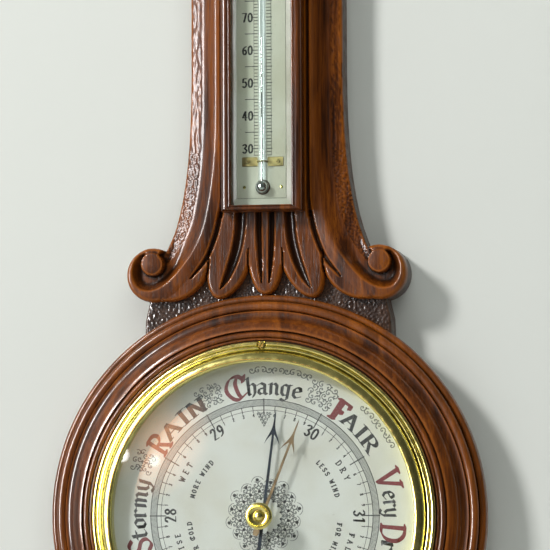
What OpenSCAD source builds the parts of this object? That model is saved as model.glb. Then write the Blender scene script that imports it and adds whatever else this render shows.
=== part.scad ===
// Aneroid banjo barometer: a carved case with a turned dial surround, an eight-inch dial behind a
// brass bezel, a thermometer box on the neck, and the aneroid movement in a pan behind the dial.
//
// The origin is the centre of the hanging hole, on the wall plane. +Z is up and the dial faces -Y.
// Most shapes are drawn flat as the viewer sees them, [x, height above the dial's centre], and are
// then given a near and a far depth d, which is the distance in front of the wall.

/* [Case] */
// Height of the hanging hole above the dial's centre
hang_height = 540; // [535:1:545]
// Thickness of the backboard
board_t = 18; // [17:0.5:18]
// Depth of the flat ground behind the carving, from the wall
ground_d = 22; // [21:0.5:23]
// Depth of the carved leaves and scrolls, from the wall
relief_d = 30; // [29:0.5:30]
// Half width of the neck beside the thermometer
neck_half_w = 51.3; // [50:0.1:53]
// Radius of the scroll at each ear
volute_r = 18; // [16:0.5:19]
// Radius of the crest shell
crest_r = 70; // [66:1:72]
// Radius of the base shell
base_r = 56; // [52:1:58]

/* [Dial surround] */
// Outer radius of the turned wooden surround
surround_r = 146; // [145.5:0.1:148]
// Radius of the hole behind the dial that takes the movement
well_r = 92; // [90:0.5:93]

/* [Bezel and glass] */
// Outer radius of the brass bezel
bezel_r = 114.6; // [114.2:0.1:114.8]
// Radius of the opening in the bezel
aperture_r = 101; // [100.5:0.1:101.2]
// Thickness of the dial glass
glass_t = 3; // [2.5:0.1:3]
// Width of the bevel round the dial glass
glass_bevel_w = 17; // [12:1:20]

/* [Dial and hands] */
// Front of the dial card, from the wall
dial_d = 35.4; // [35.2:0.1:35.5]
// Angle of the indicating hand, clockwise from twelve o'clock
hand_angle = 7.3; // [-60:0.1:60]
// Angle of the set hand, clockwise from twelve o'clock
set_angle = 21.5; // [-90:0.1:90]
// Length of the indicating hand
hand_l = 70.5; // [66:0.5:74]
// Length of the set hand
set_hand_l = 68; // [64:0.5:72]
// Radius of the set knob
knob_r = 8.8; // [7:0.1:10]

/* [Thermometer] */
// Outer width of the thermometer box
box_w = 54.4; // [53:0.1:56]
// Height of the thermometer box
box_h = 267; // [260:1:270]
// Height of the box's lower end above the dial's centre
box_z = 201; // [200:1:203]
// Width of the box's moulding
box_frame_w = 6.9; // [6:0.1:7.5]
// Width of the moulding across the two ends of the box
box_end_w = 4; // [3.5:0.1:5]
// Offset of the tube from the middle of the box
tube_x = -0.8; // [-2:0.1:0]
// Height of the thirty-degree mark above the dial's centre
thirty_z = 243.4; // [242:0.1:248]
// Height of ten degrees on the scale
ten_degrees = 22; // [21.8:0.1:22.6]
// Temperature that the column shows
reading_f = 64; // [40:1:100]

/* [Movement] */
// Radius of the sealed capsule
capsule_r = 38; // [34:1:39]
// Radius of the movement's base plate
base_plate_r = 74; // [73:0.5:76]
// Radius of the circle of the three pillars
pillar_circle_r = 68; // [67.5:0.5:69]
// Radius of the drum on the hand's arbor
drum_r = 2.5; // [2:0.1:2.6]
// Distance of the rocking arbor from the dial's centre
rocker_x = 60; // [59.5:0.1:60.5]
// Length of the rocking arbor's chain arm
chain_arm_l = 15; // [14.5:0.1:15]

/* [Hidden] */
$fn = 96;

dial_z = -hang_height;
box_top = box_z + box_h;

// Depths from the wall, back to front
cover_d = 1.8;
cover_t = 1.2;
pan_d = 4.4;
sheet_t = 1;
base_plate_d = pan_d + sheet_t;
base_plate_t = 2;
works_d = base_plate_d + base_plate_t;
capsule_mid_d = 11.4;
bridge_d = 16;
bridge_t = 1.6;
spring_t = 0.8;
spring_gap = 2;
lever_d = 21.4;
lever_t = 1.4;
arbor_bridge_d = 24.4;
drum_d = 25.9;
drum_w = 2.2;
hairspring_d = 29;
cock_d = 30.6;
ledge_d = 33;
dial_plate_d = ledge_d + sheet_t;
rebate_d = 40;
glass_d = 44;
lip_r = 103.4;
box_front_d = 44;

// Places in the movement
spring_x = -44;
post_bore_r = 4.3;
rocker_d = 12;
chain_d = rocker_d + chain_arm_l;
chain_r = 0.4;
chain_z = -(drum_r + chain_r + 0.05);
link_arm_l = 3.2;
link_x = rocker_x - link_arm_l;
link_z = 3.5;
adjuster_x = -47;
adjuster_r = 1.95;
running = 0.05;

oak = [0.36, 0.18, 0.09];
dark_oak = [0.22, 0.11, 0.06];
brass_colour = [0.78, 0.62, 0.28];
steel_colour = [0.62, 0.63, 0.65];
card_colour = [0.88, 0.87, 0.80];

// ---- Helpers -------------------------------------------------------------

// Flat outlines in the dial's plane, from depth d0 to depth d1
module slab(d0, d1)
    for (i = [0:$children - 1])
        translate([0, -d0, dial_z])
            rotate([90, 0, 0])
                linear_extrude(d1 - d0)
                    children(i);

// Profiles of [radius, depth] turned about the dial's axis
module turned()
    for (i = [0:$children - 1])
        translate([0, 0, dial_z])
            rotate([90, 0, 0])
                rotate_extrude()
                    children(i);

// Round bar along the depth, at a place in the dial's plane
module pillar(x, z, r, d0, d1)
    slab(d0, d1)
        translate([x, z])
            circle(r = r);

// Children, and their mirror image across the middle of the case
module twin() {
    children();
    mirror([1, 0])
        children();
}

// Disc with a round hole
module washer(r, bore_r) difference() {
    circle(r = r);
    circle(r = bore_r);
}

// Rectangle from one corner to the opposite one
module span(low, high)
    translate(low)
        square(high - low);

// Points of a cubic curve, without its first point
function curve(a, b, c, e, steps = 10) = [
    for (i = [1:steps])
        let (t = i / steps, s = 1 - t)
            s * s * s * a + 3 * s * s * t * b + 3 * s * t * t * c + t * t * t * e
];

// Half an outline, from the middle line round to the middle line, with its mirror image
function mirrored(half) = concat(
    half,
    [for (i = [len(half) - 2:-1:1]) [-half[i][0], half[i][1]]]
);

// A tapered stroke along a cubic curve, width w0 at its start and w1 at its end
module gouge(a, b, c, e, w0, w1) {
    points = concat([a], curve(a, b, c, e));
    last = len(points) - 1;
    function along(i) = points[min(i + 1, last)] - points[max(i - 1, 0)];
    function side(i, s) =
        let (t = along(i), w = s * (w0 + (w1 - w0) * i / last) / 2)
            points[i] + w * [-t[1], t[0]] / norm(t);
    polygon(concat(
        [for (i = [0:last]) side(i, 1)],
        [for (i = [last:-1:0]) side(i, -1)]
    ));
}

// ---- Outlines of the case ------------------------------------------------

// The scroll-and-leaf ornament is drawn as [half width, distance past the box's end]
volute_at = [76.3, 40.7];
eye_at = [76.6, 33.5];
eye_r = 8.2;
flare_start = -99;

module ornament() {
    polygon(mirrored(concat(
        [[0, flare_start], [neck_half_w, flare_start]],
        curve([neck_half_w, flare_start], [neck_half_w, -39], [56, 1], [69.3, 27]),
        [[72, 59]],
        curve([72, 59], [58, 60.5], [43, 53], [39.4, 38]),
        curve([39.4, 38], [40.5, 51], [36, 57.5], [31.2, 57.2]),
        curve([31.2, 57.2], [24, 56.7], [15.5, 48], [11.5, 36.5]),
        curve([11.5, 36.5], [9.5, 46], [6.5, 55.2], [0, 55.2])
    )));
    twin()
        translate(volute_at)
            circle(r = volute_r);
}

// Places an ornament below the box and its mirror image above it
module at_both_ends() {
    translate([0, box_z])
        mirror([0, 1])
            children();
    translate([0, box_top])
        children();
}

module neck_outline()
    span([-neck_half_w, box_z - flare_start - 1], [neck_half_w, box_top + flare_start + 1]);

module relief_outline() {
    neck_outline();
    at_both_ends()
        ornament();
}

// The plain block between the lower scrolls and the dial surround
module block_outline()
    polygon(mirrored([
        [0, 176], [60, 176], [79, 151], [80.5, 141], [83, 130], [83.5, 117], [60, 101], [0, 101]
    ]));

// A shell of lobes round an arc that opens upwards
module shell_outline(r, lobes) {
    step = 160 / lobes;
    lobe_r = r * sin(step / 2) * 1.15;
    circle(r = r * 0.96);
    for (i = [0:lobes - 1])
        rotate(-80 + (i + 0.5) * step)
            translate([0, r - lobe_r * 0.2])
                circle(r = lobe_r);
}

module crest_outline()
    translate([0, 508])
        shell_outline(crest_r, 9);

module base_outline()
    translate([0, -130])
        rotate(180)
            shell_outline(base_r, 7);

// ---- Case ----------------------------------------------------------------

hanger_w = 46;
hanger_h = 24;
hanger_t = 1.5;
hanger_hole_r = 3.5;
hanger_screw_x = 16;

module hanger_screw_places()
    for (x = [-hanger_screw_x, hanger_screw_x])
        translate([x, hang_height])
            children();

module rear_screw_places()
    for (a = [45:90:315])
        rotate(a)
            translate([well_r + 3.4, 0])
                children();

module backboard() color(oak) difference() {
    slab(0, board_t) {
        circle(r = surround_r - 3);
        relief_outline();
        block_outline();
        crest_outline();
        base_outline();
    }
    slab(-1, board_t + 1)
        circle(r = well_r);
    slab(-1, cover_d + cover_t)
        circle(r = well_r + 6.8);
    slab(-1, hanger_t)
        span([-hanger_w / 2 - 0.2, hang_height - hanger_h / 2 - 0.2],
             [hanger_w / 2 + 0.2, hang_height + hanger_h / 2 + 0.2]);
    slab(-1, 11)
        translate([0, hang_height])
            circle(r = 8);
    slab(-1, 9)
        hanger_screw_places()
            circle(r = 1.5);
    slab(-1, 12)
        rear_screw_places()
            circle(r = 1.3);
}

module neck_grooves() twin() {
    gouge([30.3, 3], [33.5, 14], [40, 31], [50.5, 43.2], 3.4, 2);
    gouge([17, 11], [19, 28], [25, 42], [30.3, 50.2], 7.5, 1.6);
    gouge([4.2, 4], [4.4, 20], [3.4, 34], [3, 46], 4, 1.2);
}

module neck_edge_cut() twin()
    gouge([neck_half_w + 1, flare_start], [neck_half_w + 1, -39], [57, 1], [71, 28], 15, 5);

module neck_carving() {
    color(oak) difference() {
        union() {
            slab(board_t, ground_d)
                block_outline();
            slab(board_t, relief_d)
                relief_outline();
        }
        slab(relief_d - 4, relief_d + 1)
            at_both_ends()
                neck_grooves();
        slab(relief_d - 4, relief_d + 1)
            at_both_ends()
                neck_edge_cut();
        slab(relief_d - 4, relief_d + 1)
            twin()
                span([neck_half_w - 6.5, box_z - flare_start - 1], [80, box_top + flare_start + 1]);
        slab(relief_d - 4, relief_d + 1)
            at_both_ends() twin() translate(eye_at)
                difference() {
                    circle(r = eye_r + 2.6);
                    circle(r = eye_r);
                    span([-20, 4], [20, 20]);
                }
        surround_body();
    }
    color(oak)
        slab(relief_d, relief_d + 3)
            at_both_ends() twin() translate(eye_at)
                circle(r = eye_r - 2);
}

// The part of the crest that stands above the upper scrolls' leaves
module crest_outline_above() difference() {
    crest_outline();
    relief_outline();
    span([-200, -300], [200, box_top]);
}

module crest_shell() color(oak)
    slab(board_t, relief_d - 3)
        crest_outline_above();

module base_shell() color(oak) difference() {
    slab(board_t, relief_d - 3)
        base_outline();
    surround_body();
}

// The surround's full disc, cut out of the carving round it
module surround_body()
    slab(0, 60)
        circle(r = surround_r + 0.1);

module surround_profile() difference() {
    union() {
        polygon([
            [well_r, board_t], [surround_r, board_t], [surround_r, 26.2],
            [surround_r - 2.4, 28.6], [141.7, 28.2], [138.5, 31], [136.2, 33], [131.2, 35],
            [122.4, 42.4], [121.4, 41.2], [115.2, 41.6], [115.2, rebate_d],
            [lip_r + 1.1, rebate_d], [lip_r + 1.1, ledge_d], [well_r, ledge_d]
        ]);
        translate([surround_r - 2.4, 26.2])
            circle(r = 2.4);
        translate([138.4, 31])
            circle(r = 3.2);
        translate([119, 41.6])
            circle(r = 1.9);
    }
    translate([133.4, 38.2])
        circle(r = 4.2);
}

module dial_surround() color(oak) difference() {
    turned()
        surround_profile();
    slab(rebate_d - 6, rebate_d + 1)
        bezel_screw_places()
            circle(r = 0.95);
}

module hanger_plate() color(brass_colour) difference() {
    slab(0, hanger_t)
        span([-hanger_w / 2, hang_height - hanger_h / 2], [hanger_w / 2, hang_height + hanger_h / 2]);
    slab(-1, hanger_t + 1)
        translate([0, hang_height])
            circle(r = hanger_hole_r);
    slab(-1, hanger_t + 1)
        hanger_screw_places()
            circle(r = 2.7);
}

// Countersunk screws, flush with the plate's back
module hanger_screws() color(brass_colour)
    for (x = [-hanger_screw_x, hanger_screw_x])
        translate([x, 0, 0])
            rotate([90, 0, 0])
                rotate_extrude()
                    polygon([[0, 0.1], [2.6, 0.1], [2.6, 0.5], [1.4, hanger_t], [1.4, 8.4], [0, 8.4]]);

module rear_cover() color(dark_oak) difference() {
    slab(cover_d, cover_d + cover_t)
        circle(r = well_r + 6.5);
    slab(0, 10)
        rear_screw_places()
            circle(r = 1.6);
    slab(0, 10)
        translate([adjuster_x, 0])
            circle(r = 4);
}

module rear_cover_screws() color(steel_colour) {
    slab(0.6, cover_d)
        rear_screw_places()
            circle(r = 2.6);
    slab(cover_d, 11.5)
        rear_screw_places()
            circle(r = 1.2);
}

// ---- Thermometer ---------------------------------------------------------

half_box = box_w / 2;
opening_half = half_box - box_frame_w;
box_glass_t = 2.4;
box_glass_d = 39.6;
scale_t = 1.8;
tube_r = 2.7;
tube_d = relief_d + scale_t + tube_r + 0.1;
bulb_r = 4.5;
bulb_z = 217.6;
tube_top_z = box_top - 15;
clip_z = 234.6;
clip_wire_r = 0.4;
clip_ring_r = tube_r + 1.2;

// One side of the box: a rounded moulding with a rebate behind for the glass
module box_rail_profile() difference() {
    union() {
        span([opening_half, relief_d], [half_box, box_front_d - box_frame_w / 2]);
        translate([half_box - box_frame_w / 2, box_front_d - box_frame_w / 2])
            circle(r = box_frame_w / 2);
    }
    span([opening_half - 1, relief_d - 1], [opening_half + 1.8, box_glass_d + box_glass_t]);
}

// The profile narrowed towards its outer side, for the ends of the box
module narrowed(share)
    translate([half_box * (1 - share), 0])
        scale([share, 1])
            children();

// A rail of the given length, cut to a mitre at both ends. slope is the mitre's run along the rail.
module box_rail(length, slope) {
    miter_gap = 0.05;
    intersection() {
        translate([0, 0, -length])
            linear_extrude(2 * length)
                mirror([0, 1])
                    children();
        rotate([90, 0, 0])
            linear_extrude(2 * box_front_d)
                polygon([
                    [half_box, length / 2 - miter_gap],
                    [half_box, miter_gap - length / 2],
                    [half_box - 12, miter_gap - length / 2 + 12 * slope],
                    [half_box - 12, length / 2 - miter_gap - 12 * slope]
                ]);
    }
}

module thermometer_frame() color(oak)
    translate([0, 0, dial_z + box_z + box_h / 2]) {
        for (a = [0, 180])
            rotate([0, a, 0])
                box_rail(box_h, box_end_w / box_frame_w)
                    box_rail_profile();
        for (s = [-1, 1])
            translate([0, 0, s * (box_h - box_w) / 2])
                rotate([0, -90 * s, 0])
                    box_rail(box_w, box_frame_w / box_end_w)
                        narrowed(box_end_w / box_frame_w)
                            box_rail_profile();
    }

module thermometer_glass() color([0.8, 0.9, 0.9, 0.4])
    slab(box_glass_d, box_glass_d + box_glass_t)
        span([-opening_half - 1.6, box_z + box_end_w - 0.9],
             [opening_half + 1.6, box_top - box_end_w + 0.9]);

module scale_plate() color(card_colour) difference() {
    slab(relief_d, relief_d + scale_t)
        span([-opening_half - 1, box_z + box_end_w - 0.6], [opening_half + 1, box_top - box_end_w + 0.6]);
    pillar(tube_x, bulb_z, bulb_r + 0.6, relief_d - 1, relief_d + scale_t + 1);
    slab(relief_d - 1, relief_d + scale_t + 1)
        span([tube_x - clip_ring_r, clip_z - 0.7], [tube_x + clip_ring_r, clip_z + 0.7]);
    slab(relief_d, relief_d + scale_t + 1)
        scale_pin_places()
            circle(r = 0.7);
}

module along_tube()
    translate([tube_x, -tube_d, dial_z])
        children();

module thermometer_tube() color([0.9, 0.92, 0.94, 0.5]) difference() {
    union() {
        along_tube() translate([0, 0, bulb_z + 2])
            cylinder(r = tube_r, h = tube_top_z - bulb_z - 2);
        along_tube() translate([0, 0, bulb_z])
            sphere(r = bulb_r);
    }
    mercury_body(0, tube_top_z - bulb_z - 3);
}

module mercury_body(shrink, h) {
    along_tube() translate([0, 0, bulb_z])
        sphere(r = bulb_r - 0.6 - shrink);
    along_tube() translate([0, 0, bulb_z])
        cylinder(r = 0.5 - shrink, h = h);
}

module mercury() color([0.75, 0.77, 0.8])
    mercury_body(0.05, thirty_z + (reading_f - 30) / 10 * ten_degrees - bulb_z);

// Two brass tabs on the scale and a wire that holds the tube down
module tube_clip() color(brass_colour) {
    for (s = [-1, 1])
        slab(relief_d + scale_t, relief_d + scale_t + 0.6)
            translate([tube_x + s * 8.7, clip_z])
                square([10.5, 6.4], center = true);
    along_tube() translate([0, 0, clip_z])
        rotate_extrude()
            translate([tube_r + 0.6, 0])
                circle(r = clip_wire_r);
}

module scale_pin_places()
    for (x = [tube_x - 12.5, tube_x + 12.5], z = [bulb_z, tube_top_z - 3])
        translate([x, z])
            children();

module scale_pins() color(brass_colour) {
    slab(relief_d, relief_d + scale_t)
        scale_pin_places()
            circle(r = 0.65);
    slab(relief_d + scale_t, relief_d + scale_t + 0.5)
        scale_pin_places()
            circle(r = 1.1);
}

// ---- Bezel, glass and hands ----------------------------------------------

bezel_screw_r = 112.3;

module bezel_screw_places()
    for (a = [0, 120, 240])
        rotate(a)
            translate([0, bezel_screw_r])
                children();

module bezel_profile() {
    polygon(concat(
        [[lip_r, rebate_d], [bezel_r, rebate_d], [bezel_r, 43], [bezel_r - 1.6, 43.6],
         [111.4, 43.1], [110.2, 44], [108.7, 43.7], [108, 44.3]],
        curve([108, 44.3], [107.6, 46.8], [105, 48.6], [102.4, 48.4]),
        curve([102.4, 48.4], [101.4, 48.2], [aperture_r, 47.8], [aperture_r, 46.5], 4),
        [[lip_r, 46.2]]
    ));
    translate([bezel_r - 1.6, 43])
        circle(r = 1.6);
    translate([110.2, 43.7])
        circle(r = 1.2);
}

module bezel() color(brass_colour) difference() {
    turned()
        bezel_profile();
    slab(rebate_d - 1, 46)
        bezel_screw_places()
            circle(r = 1);
    slab(43.2, 46)
        bezel_screw_places()
            circle(r = 2.2);
}

module bezel_screws() color(brass_colour) {
    slab(rebate_d - 5.5, 43.2)
        bezel_screw_places()
            circle(r = 0.9);
    slab(43.2, 44.9)
        bezel_screw_places()
            circle(r = 2.1);
}

// Plate glass, flat in the middle and bevelled to a thin edge
module dial_glass() color([0.85, 0.92, 0.9, 0.3])
    turned()
        polygon([
            [3.4, glass_d], [lip_r - 0.2, glass_d], [lip_r - 0.2, glass_d + glass_t - 1.1],
            [lip_r - glass_bevel_w, glass_d + glass_t], [3.4, glass_d + glass_t]
        ]);

module glass_ring() color(brass_colour)
    turned()
        span([aperture_r + 0.2, dial_d], [lip_r - 0.1, glass_d]);

module knob_bush() color(brass_colour)
    turned()
        polygon([
            [1.5 + running, 43.3], [4.6, 43.3], [4.6, glass_d], [3.3, glass_d],
            [3.3, glass_d + glass_t], [4.6, glass_d + glass_t],
            [4.6, glass_d + glass_t + 0.6], [1.5 + running, glass_d + glass_t + 0.6]
        ]);

// Mushroom knob with a dished face, on the arbor that carries the set hand
module set_knob() color(brass_colour)
    turned()
        polygon(concat(
            [[0, 41.9], [1.5, 41.9], [1.5, 48], [4.4, 48]],
            curve([4.4, 48], [3.6, 51.4], [5, 53.6], [knob_r, 55]),
            curve([knob_r, 55], [knob_r + 0.5, 56.4], [knob_r - 0.6, 57.4], [knob_r - 1.8, 57.2]),
            curve([knob_r - 1.8, 57.2], [5, 56], [4.6, 55.6], [3.4, 55.8]),
            curve([3.4, 55.8], [2.4, 56.6], [1.2, 57], [0, 57])
        ));

// A slender hand with two swept barbs below its point
module hand_outline(length, tail) {
    barb = length - 20;
    polygon(mirrored(concat(
        [[0, length], [0.5, length - 5], [0.9, length - 11]],
        curve([0.9, length - 11], [1.2, barb + 5], [2.6, barb + 1.5], [5.2, barb]),
        curve([5.2, barb], [3.6, barb + 0.2], [1.6, barb + 2], [0.75, barb + 4.5]),
        [[0.6, barb], [1.1, 3], [1.3, 6 - tail], [2.3, 3 - tail], [1.6, -tail], [0, -tail]]
    )));
}

// A hand at an angle, from depth d0 to depth d1, with a round boss and a bore
module dial_hand(d0, d1, angle, length, tail, bore_r) difference() {
    slab(d0, d1) {
        rotate(-angle)
            hand_outline(length, tail);
        circle(r = 4);
    }
    pillar(0, 0, bore_r, d0 - 1, d1 + 1);
}

module indicating_hand() color([0.12, 0.16, 0.22])
    dial_hand(39.4, 40.1, hand_angle, hand_l, 32, 1.2);

module set_hand() color(brass_colour)
    dial_hand(42.1, 42.8, set_angle, set_hand_l, 14, 1.5);

module dial_card() color(card_colour)
    slab(dial_plate_d + sheet_t, dial_d)
        washer(lip_r - 0.1, 4);

module dial_plate() color(brass_colour)
    slab(dial_plate_d, dial_plate_d + sheet_t)
        washer(lip_r - 0.1, 4);

// The hand's arbor, its drum for the chain, and the collar that the hairspring grips
module hand_arbor() color(steel_colour)
    turned()
        polygon([
            [0, arbor_bridge_d], [1.2, arbor_bridge_d], [1.2, drum_d],
            [drum_r + 0.6, drum_d], [drum_r + 0.6, drum_d + 0.4], [drum_r, drum_d + 0.4],
            [drum_r, drum_d + drum_w - 0.4], [drum_r + 0.6, drum_d + drum_w - 0.4],
            [drum_r + 0.6, drum_d + drum_w], [1.2, drum_d + drum_w],
            [1.2, 38.2], [2.2, 38.2], [2.2, 39.4], [1.2, 39.4], [1.2, 40.6], [0, 40.6]
        ]);

// ---- Movement ------------------------------------------------------------

pan_r = well_r - 3;

module movement_pan() color(brass_colour) difference() {
    turned()
        polygon([
            [0, pan_d], [pan_r, pan_d], [pan_r, ledge_d], [lip_r - 0.1, ledge_d],
            [lip_r - 0.1, dial_plate_d], [pan_r - sheet_t, dial_plate_d],
            [pan_r - sheet_t, base_plate_d], [0, base_plate_d]
        ]);
    pillar(adjuster_x, 0, adjuster_r + 0.3, 0, 10);
}

module base_plate() color(brass_colour) difference() {
    slab(base_plate_d, works_d)
        circle(r = base_plate_r);
    pillar(adjuster_x, 0, adjuster_r + running, 0, 10);
}

module pillars() color(brass_colour)
    for (a = [0, 120, 240])
        slab(works_d, dial_plate_d)
            rotate(a)
                translate([0, pillar_circle_r])
                    circle(r = 3);

// Height of a corrugated diaphragm above the capsule's rim
function dome(r) =
    let (u = r / capsule_r)
        2.1 * (1 - pow(u, 6)) + 0.35 * (1 - pow(u, 4)) * sin(360 * r / 8.5);

rim_r = capsule_r - 2;
dome_radii = [for (r = [6:1.5:rim_r]) r];

module diaphragm_profile(s) {
    wall = 0.4;
    polygon(concat(
        [for (r = dome_radii) [r, capsule_mid_d + s * (dome(r) + 0.1)]],
        [[capsule_r, capsule_mid_d], [capsule_r, capsule_mid_d + s * wall]],
        [for (i = [len(dome_radii) - 1:-1:0])
            [dome_radii[i], capsule_mid_d + s * (dome(dome_radii[i]) + 0.1 + wall)]]
    ));
}

module capsule_lower() color(brass_colour) turned() {
    diaphragm_profile(-1);
    span([0, works_d], [6.4, capsule_mid_d - dome(6)]);
}

module capsule_upper() color(brass_colour) turned() {
    diaphragm_profile(1);
    difference() {
        span([0, capsule_mid_d + dome(6)], [6.6, 15.4]);
        span([-1, 14], [post_bore_r, 16]);
    }
}

module capsule_post() color(steel_colour)
    turned()
        polygon([[0, 14.7], [4, 14.7], [4, 18.8], [3, 19.2], [3, 20.2], [0, 20.2]]);

bridge_half = 50;

module bridge() color(brass_colour) {
    difference() {
        slab(bridge_d, bridge_d + bridge_t)
            span([-bridge_half, -8], [bridge_half, 8]);
        pillar(0, 0, 6, bridge_d - 1, bridge_d + bridge_t + 1);
    }
    slab(works_d, bridge_d)
        span([bridge_half - 6, -8], [bridge_half, 8]);
    slab(works_d + 2.6, bridge_d)
        span([-bridge_half, -8], [6 - bridge_half, 8]);
}

// C-shaped leaf spring, bent round at its outer end
module main_spring() color([0.3, 0.33, 0.4])
    translate([0, 0, dial_z - 7])
        linear_extrude(14)
            mirror([0, 1])
                main_spring_profile();

module main_spring_profile() {
    low = bridge_d + bridge_t;
    high = low + spring_t + spring_gap;
    mid = (low + high + spring_t) / 2;
    span([spring_x, low], [-9, low + spring_t]);
    span([spring_x, high], [4, high + spring_t]);
    difference() {
        translate([spring_x, mid])
            circle(r = spring_gap / 2 + spring_t);
        translate([spring_x, mid])
            circle(r = spring_gap / 2);
        span([spring_x, low - 1], [spring_x + 10, high + spring_t + 1]);
    }
}

module main_lever() color(steel_colour) difference() {
    slab(lever_d, lever_d + lever_t)
        polygon([[-34, 0.6], [-34, 6.4], [10, 6.4], [link_x, 5.5], [link_x + 1.6, 4.6],
                 [link_x + 1.6, 2.4], [link_x, 1.5], [10, 0.6]]);
    pillar(link_x, link_z, 0.5, lever_d - 1, lever_d + lever_t + 1);
}

// The link hangs from the lever's tip and passes through the rocking arbor's eye
module link_rod() color(steel_colour) {
    pillar(link_x, link_z, 0.5, rocker_d - 3, lever_d + lever_t);
    pillar(link_x, link_z, 1.5, rocker_d - 3.2, rocker_d - 2.4);
    pillar(link_x, link_z, 1.3, lever_d + lever_t, lever_d + lever_t + 0.8);
}

module rocking_arbor() color(steel_colour) {
    translate([rocker_x, -rocker_d, dial_z - 11.4])
        cylinder(r = 1, h = 22.8);
    slab(rocker_d, chain_d + 0.9)
        span([rocker_x - 1, chain_z - 0.6], [rocker_x + 1, chain_z + 0.6]);
    difference() {
        pillar(link_x, link_z, 2.5, rocker_d - 0.5, rocker_d + 0.5);
        pillar(link_x, link_z, 1.6, rocker_d - 1, rocker_d + 1);
    }
}

module rocker_bearings() color(brass_colour) difference() {
    for (s = [-1, 1])
        slab(works_d, rocker_d + 2.4)
            translate([rocker_x, s * 10])
                square([6, 2], center = true);
    translate([rocker_x, -rocker_d, dial_z - 20])
        cylinder(r = 1 + running, h = 40);
}

module chain() color(steel_colour)
    translate([0, -chain_d, dial_z + chain_z])
        rotate([0, 90, 0])
            cylinder(r = chain_r, h = rocker_x - 1.1);

// The plate that carries the hand's arbor over the capsule, on two posts
module arbor_bridge() color(brass_colour) {
    difference() {
        slab(arbor_bridge_d, arbor_bridge_d + 1) {
            circle(r = 17);
            span([-6, -50], [6, 50]);
        }
        pillar(0, 0, 1.2 + running, arbor_bridge_d - 1, arbor_bridge_d + 2);
    }
    pillar(0, 45, 3, works_d, arbor_bridge_d);
    pillar(0, -45, 3, works_d, arbor_bridge_d);
}

module arbor_cock() color(brass_colour) {
    difference() {
        slab(cock_d, cock_d + 1.2)
            span([-16, -3], [4, 3]);
        pillar(0, 0, 1.2 + running, cock_d - 1, cock_d + 2);
    }
    slab(arbor_bridge_d + 1, cock_d)
        span([-16, -3], [-11.5, 3]);
}

// Flat spiral spring from the arbor's collar to a stud on the cock's foot
module hairspring() {
    turns = 4;
    steps = 24 * turns;
    wire = 0.3;
    function radius(i) = 2.4 + 7.6 * i / steps;
    function place(i, w) = (radius(i) + w) * [cos(15 * i), sin(15 * i)];
    color([0.2, 0.25, 0.4])
        slab(hairspring_d, hairspring_d + 0.6)
            polygon(concat(
                [for (i = [0:steps]) place(i, wire / 2)],
                [for (i = [steps:-1:0]) place(i, -wire / 2)]
            ));
}

module adjusting_screw() color(steel_colour) {
    difference() {
        pillar(adjuster_x, 0, 3, 3.3, 4.2);
        slab(3, 3.7)
            translate([adjuster_x, 0])
                square([8, 0.8], center = true);
    }
    pillar(adjuster_x, 0, adjuster_r, 4.2, works_d + 2.5);
}

backboard();
neck_carving();
crest_shell();
base_shell();
dial_surround();
hanger_plate();
hanger_screws();
rear_cover();
rear_cover_screws();
thermometer_frame();
thermometer_glass();
scale_plate();
thermometer_tube();
mercury();
tube_clip();
scale_pins();
bezel();
bezel_screws();
dial_glass();
glass_ring();
knob_bush();
set_knob();
set_hand();
dial_card();
dial_plate();
indicating_hand();
hand_arbor();
movement_pan();
base_plate();
pillars();
capsule_lower();
capsule_upper();
capsule_post();
bridge();
main_spring();
main_lever();
link_rod();
rocking_arbor();
rocker_bearings();
chain();
arbor_bridge();
arbor_cock();
hairspring();
adjusting_screw();
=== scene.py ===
"""An aneroid banjo barometer hanging on a plain wall.

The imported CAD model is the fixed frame, and every place here is worked out from it. Shapes are
drawn as the maker would draw them, in millimetres: x across, z above the dial's centre, and d in
front of the wall. Angles on the dial are degrees, clockwise from twelve o'clock.
"""

import math
from collections import namedtuple

import bmesh
import bpy
import numpy as np
from mathutils import Matrix, Vector


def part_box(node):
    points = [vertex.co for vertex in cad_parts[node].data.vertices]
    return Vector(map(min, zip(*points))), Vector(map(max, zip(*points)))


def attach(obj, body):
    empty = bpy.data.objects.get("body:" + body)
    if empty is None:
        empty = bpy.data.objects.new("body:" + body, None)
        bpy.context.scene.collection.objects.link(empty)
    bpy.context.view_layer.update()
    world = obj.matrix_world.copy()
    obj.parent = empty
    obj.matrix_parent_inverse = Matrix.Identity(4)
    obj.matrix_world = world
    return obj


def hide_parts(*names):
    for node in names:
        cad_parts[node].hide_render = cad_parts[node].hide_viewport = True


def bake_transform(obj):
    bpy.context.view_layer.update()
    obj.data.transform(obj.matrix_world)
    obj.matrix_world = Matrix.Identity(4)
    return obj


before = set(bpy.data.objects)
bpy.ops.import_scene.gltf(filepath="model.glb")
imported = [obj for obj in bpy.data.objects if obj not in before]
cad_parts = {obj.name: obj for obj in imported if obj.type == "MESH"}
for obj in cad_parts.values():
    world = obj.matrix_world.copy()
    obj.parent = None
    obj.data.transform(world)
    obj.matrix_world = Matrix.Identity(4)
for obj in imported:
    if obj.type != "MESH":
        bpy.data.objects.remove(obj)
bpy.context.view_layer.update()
MM = 0.001
DIAL_Z = sum(corner.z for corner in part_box("dial_surround")) / 2

Extent = namedtuple("Extent", "x0 x1 d0 d1 z0 z1")


def extent(node):
    """A CAD node's box in millimetres, as x, d and z."""
    low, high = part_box(node)
    return Extent(
        low.x / MM, high.x / MM, -high.y / MM, -low.y / MM,
        (low.z - DIAL_Z) / MM, (high.z - DIAL_Z) / MM,
    )


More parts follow.
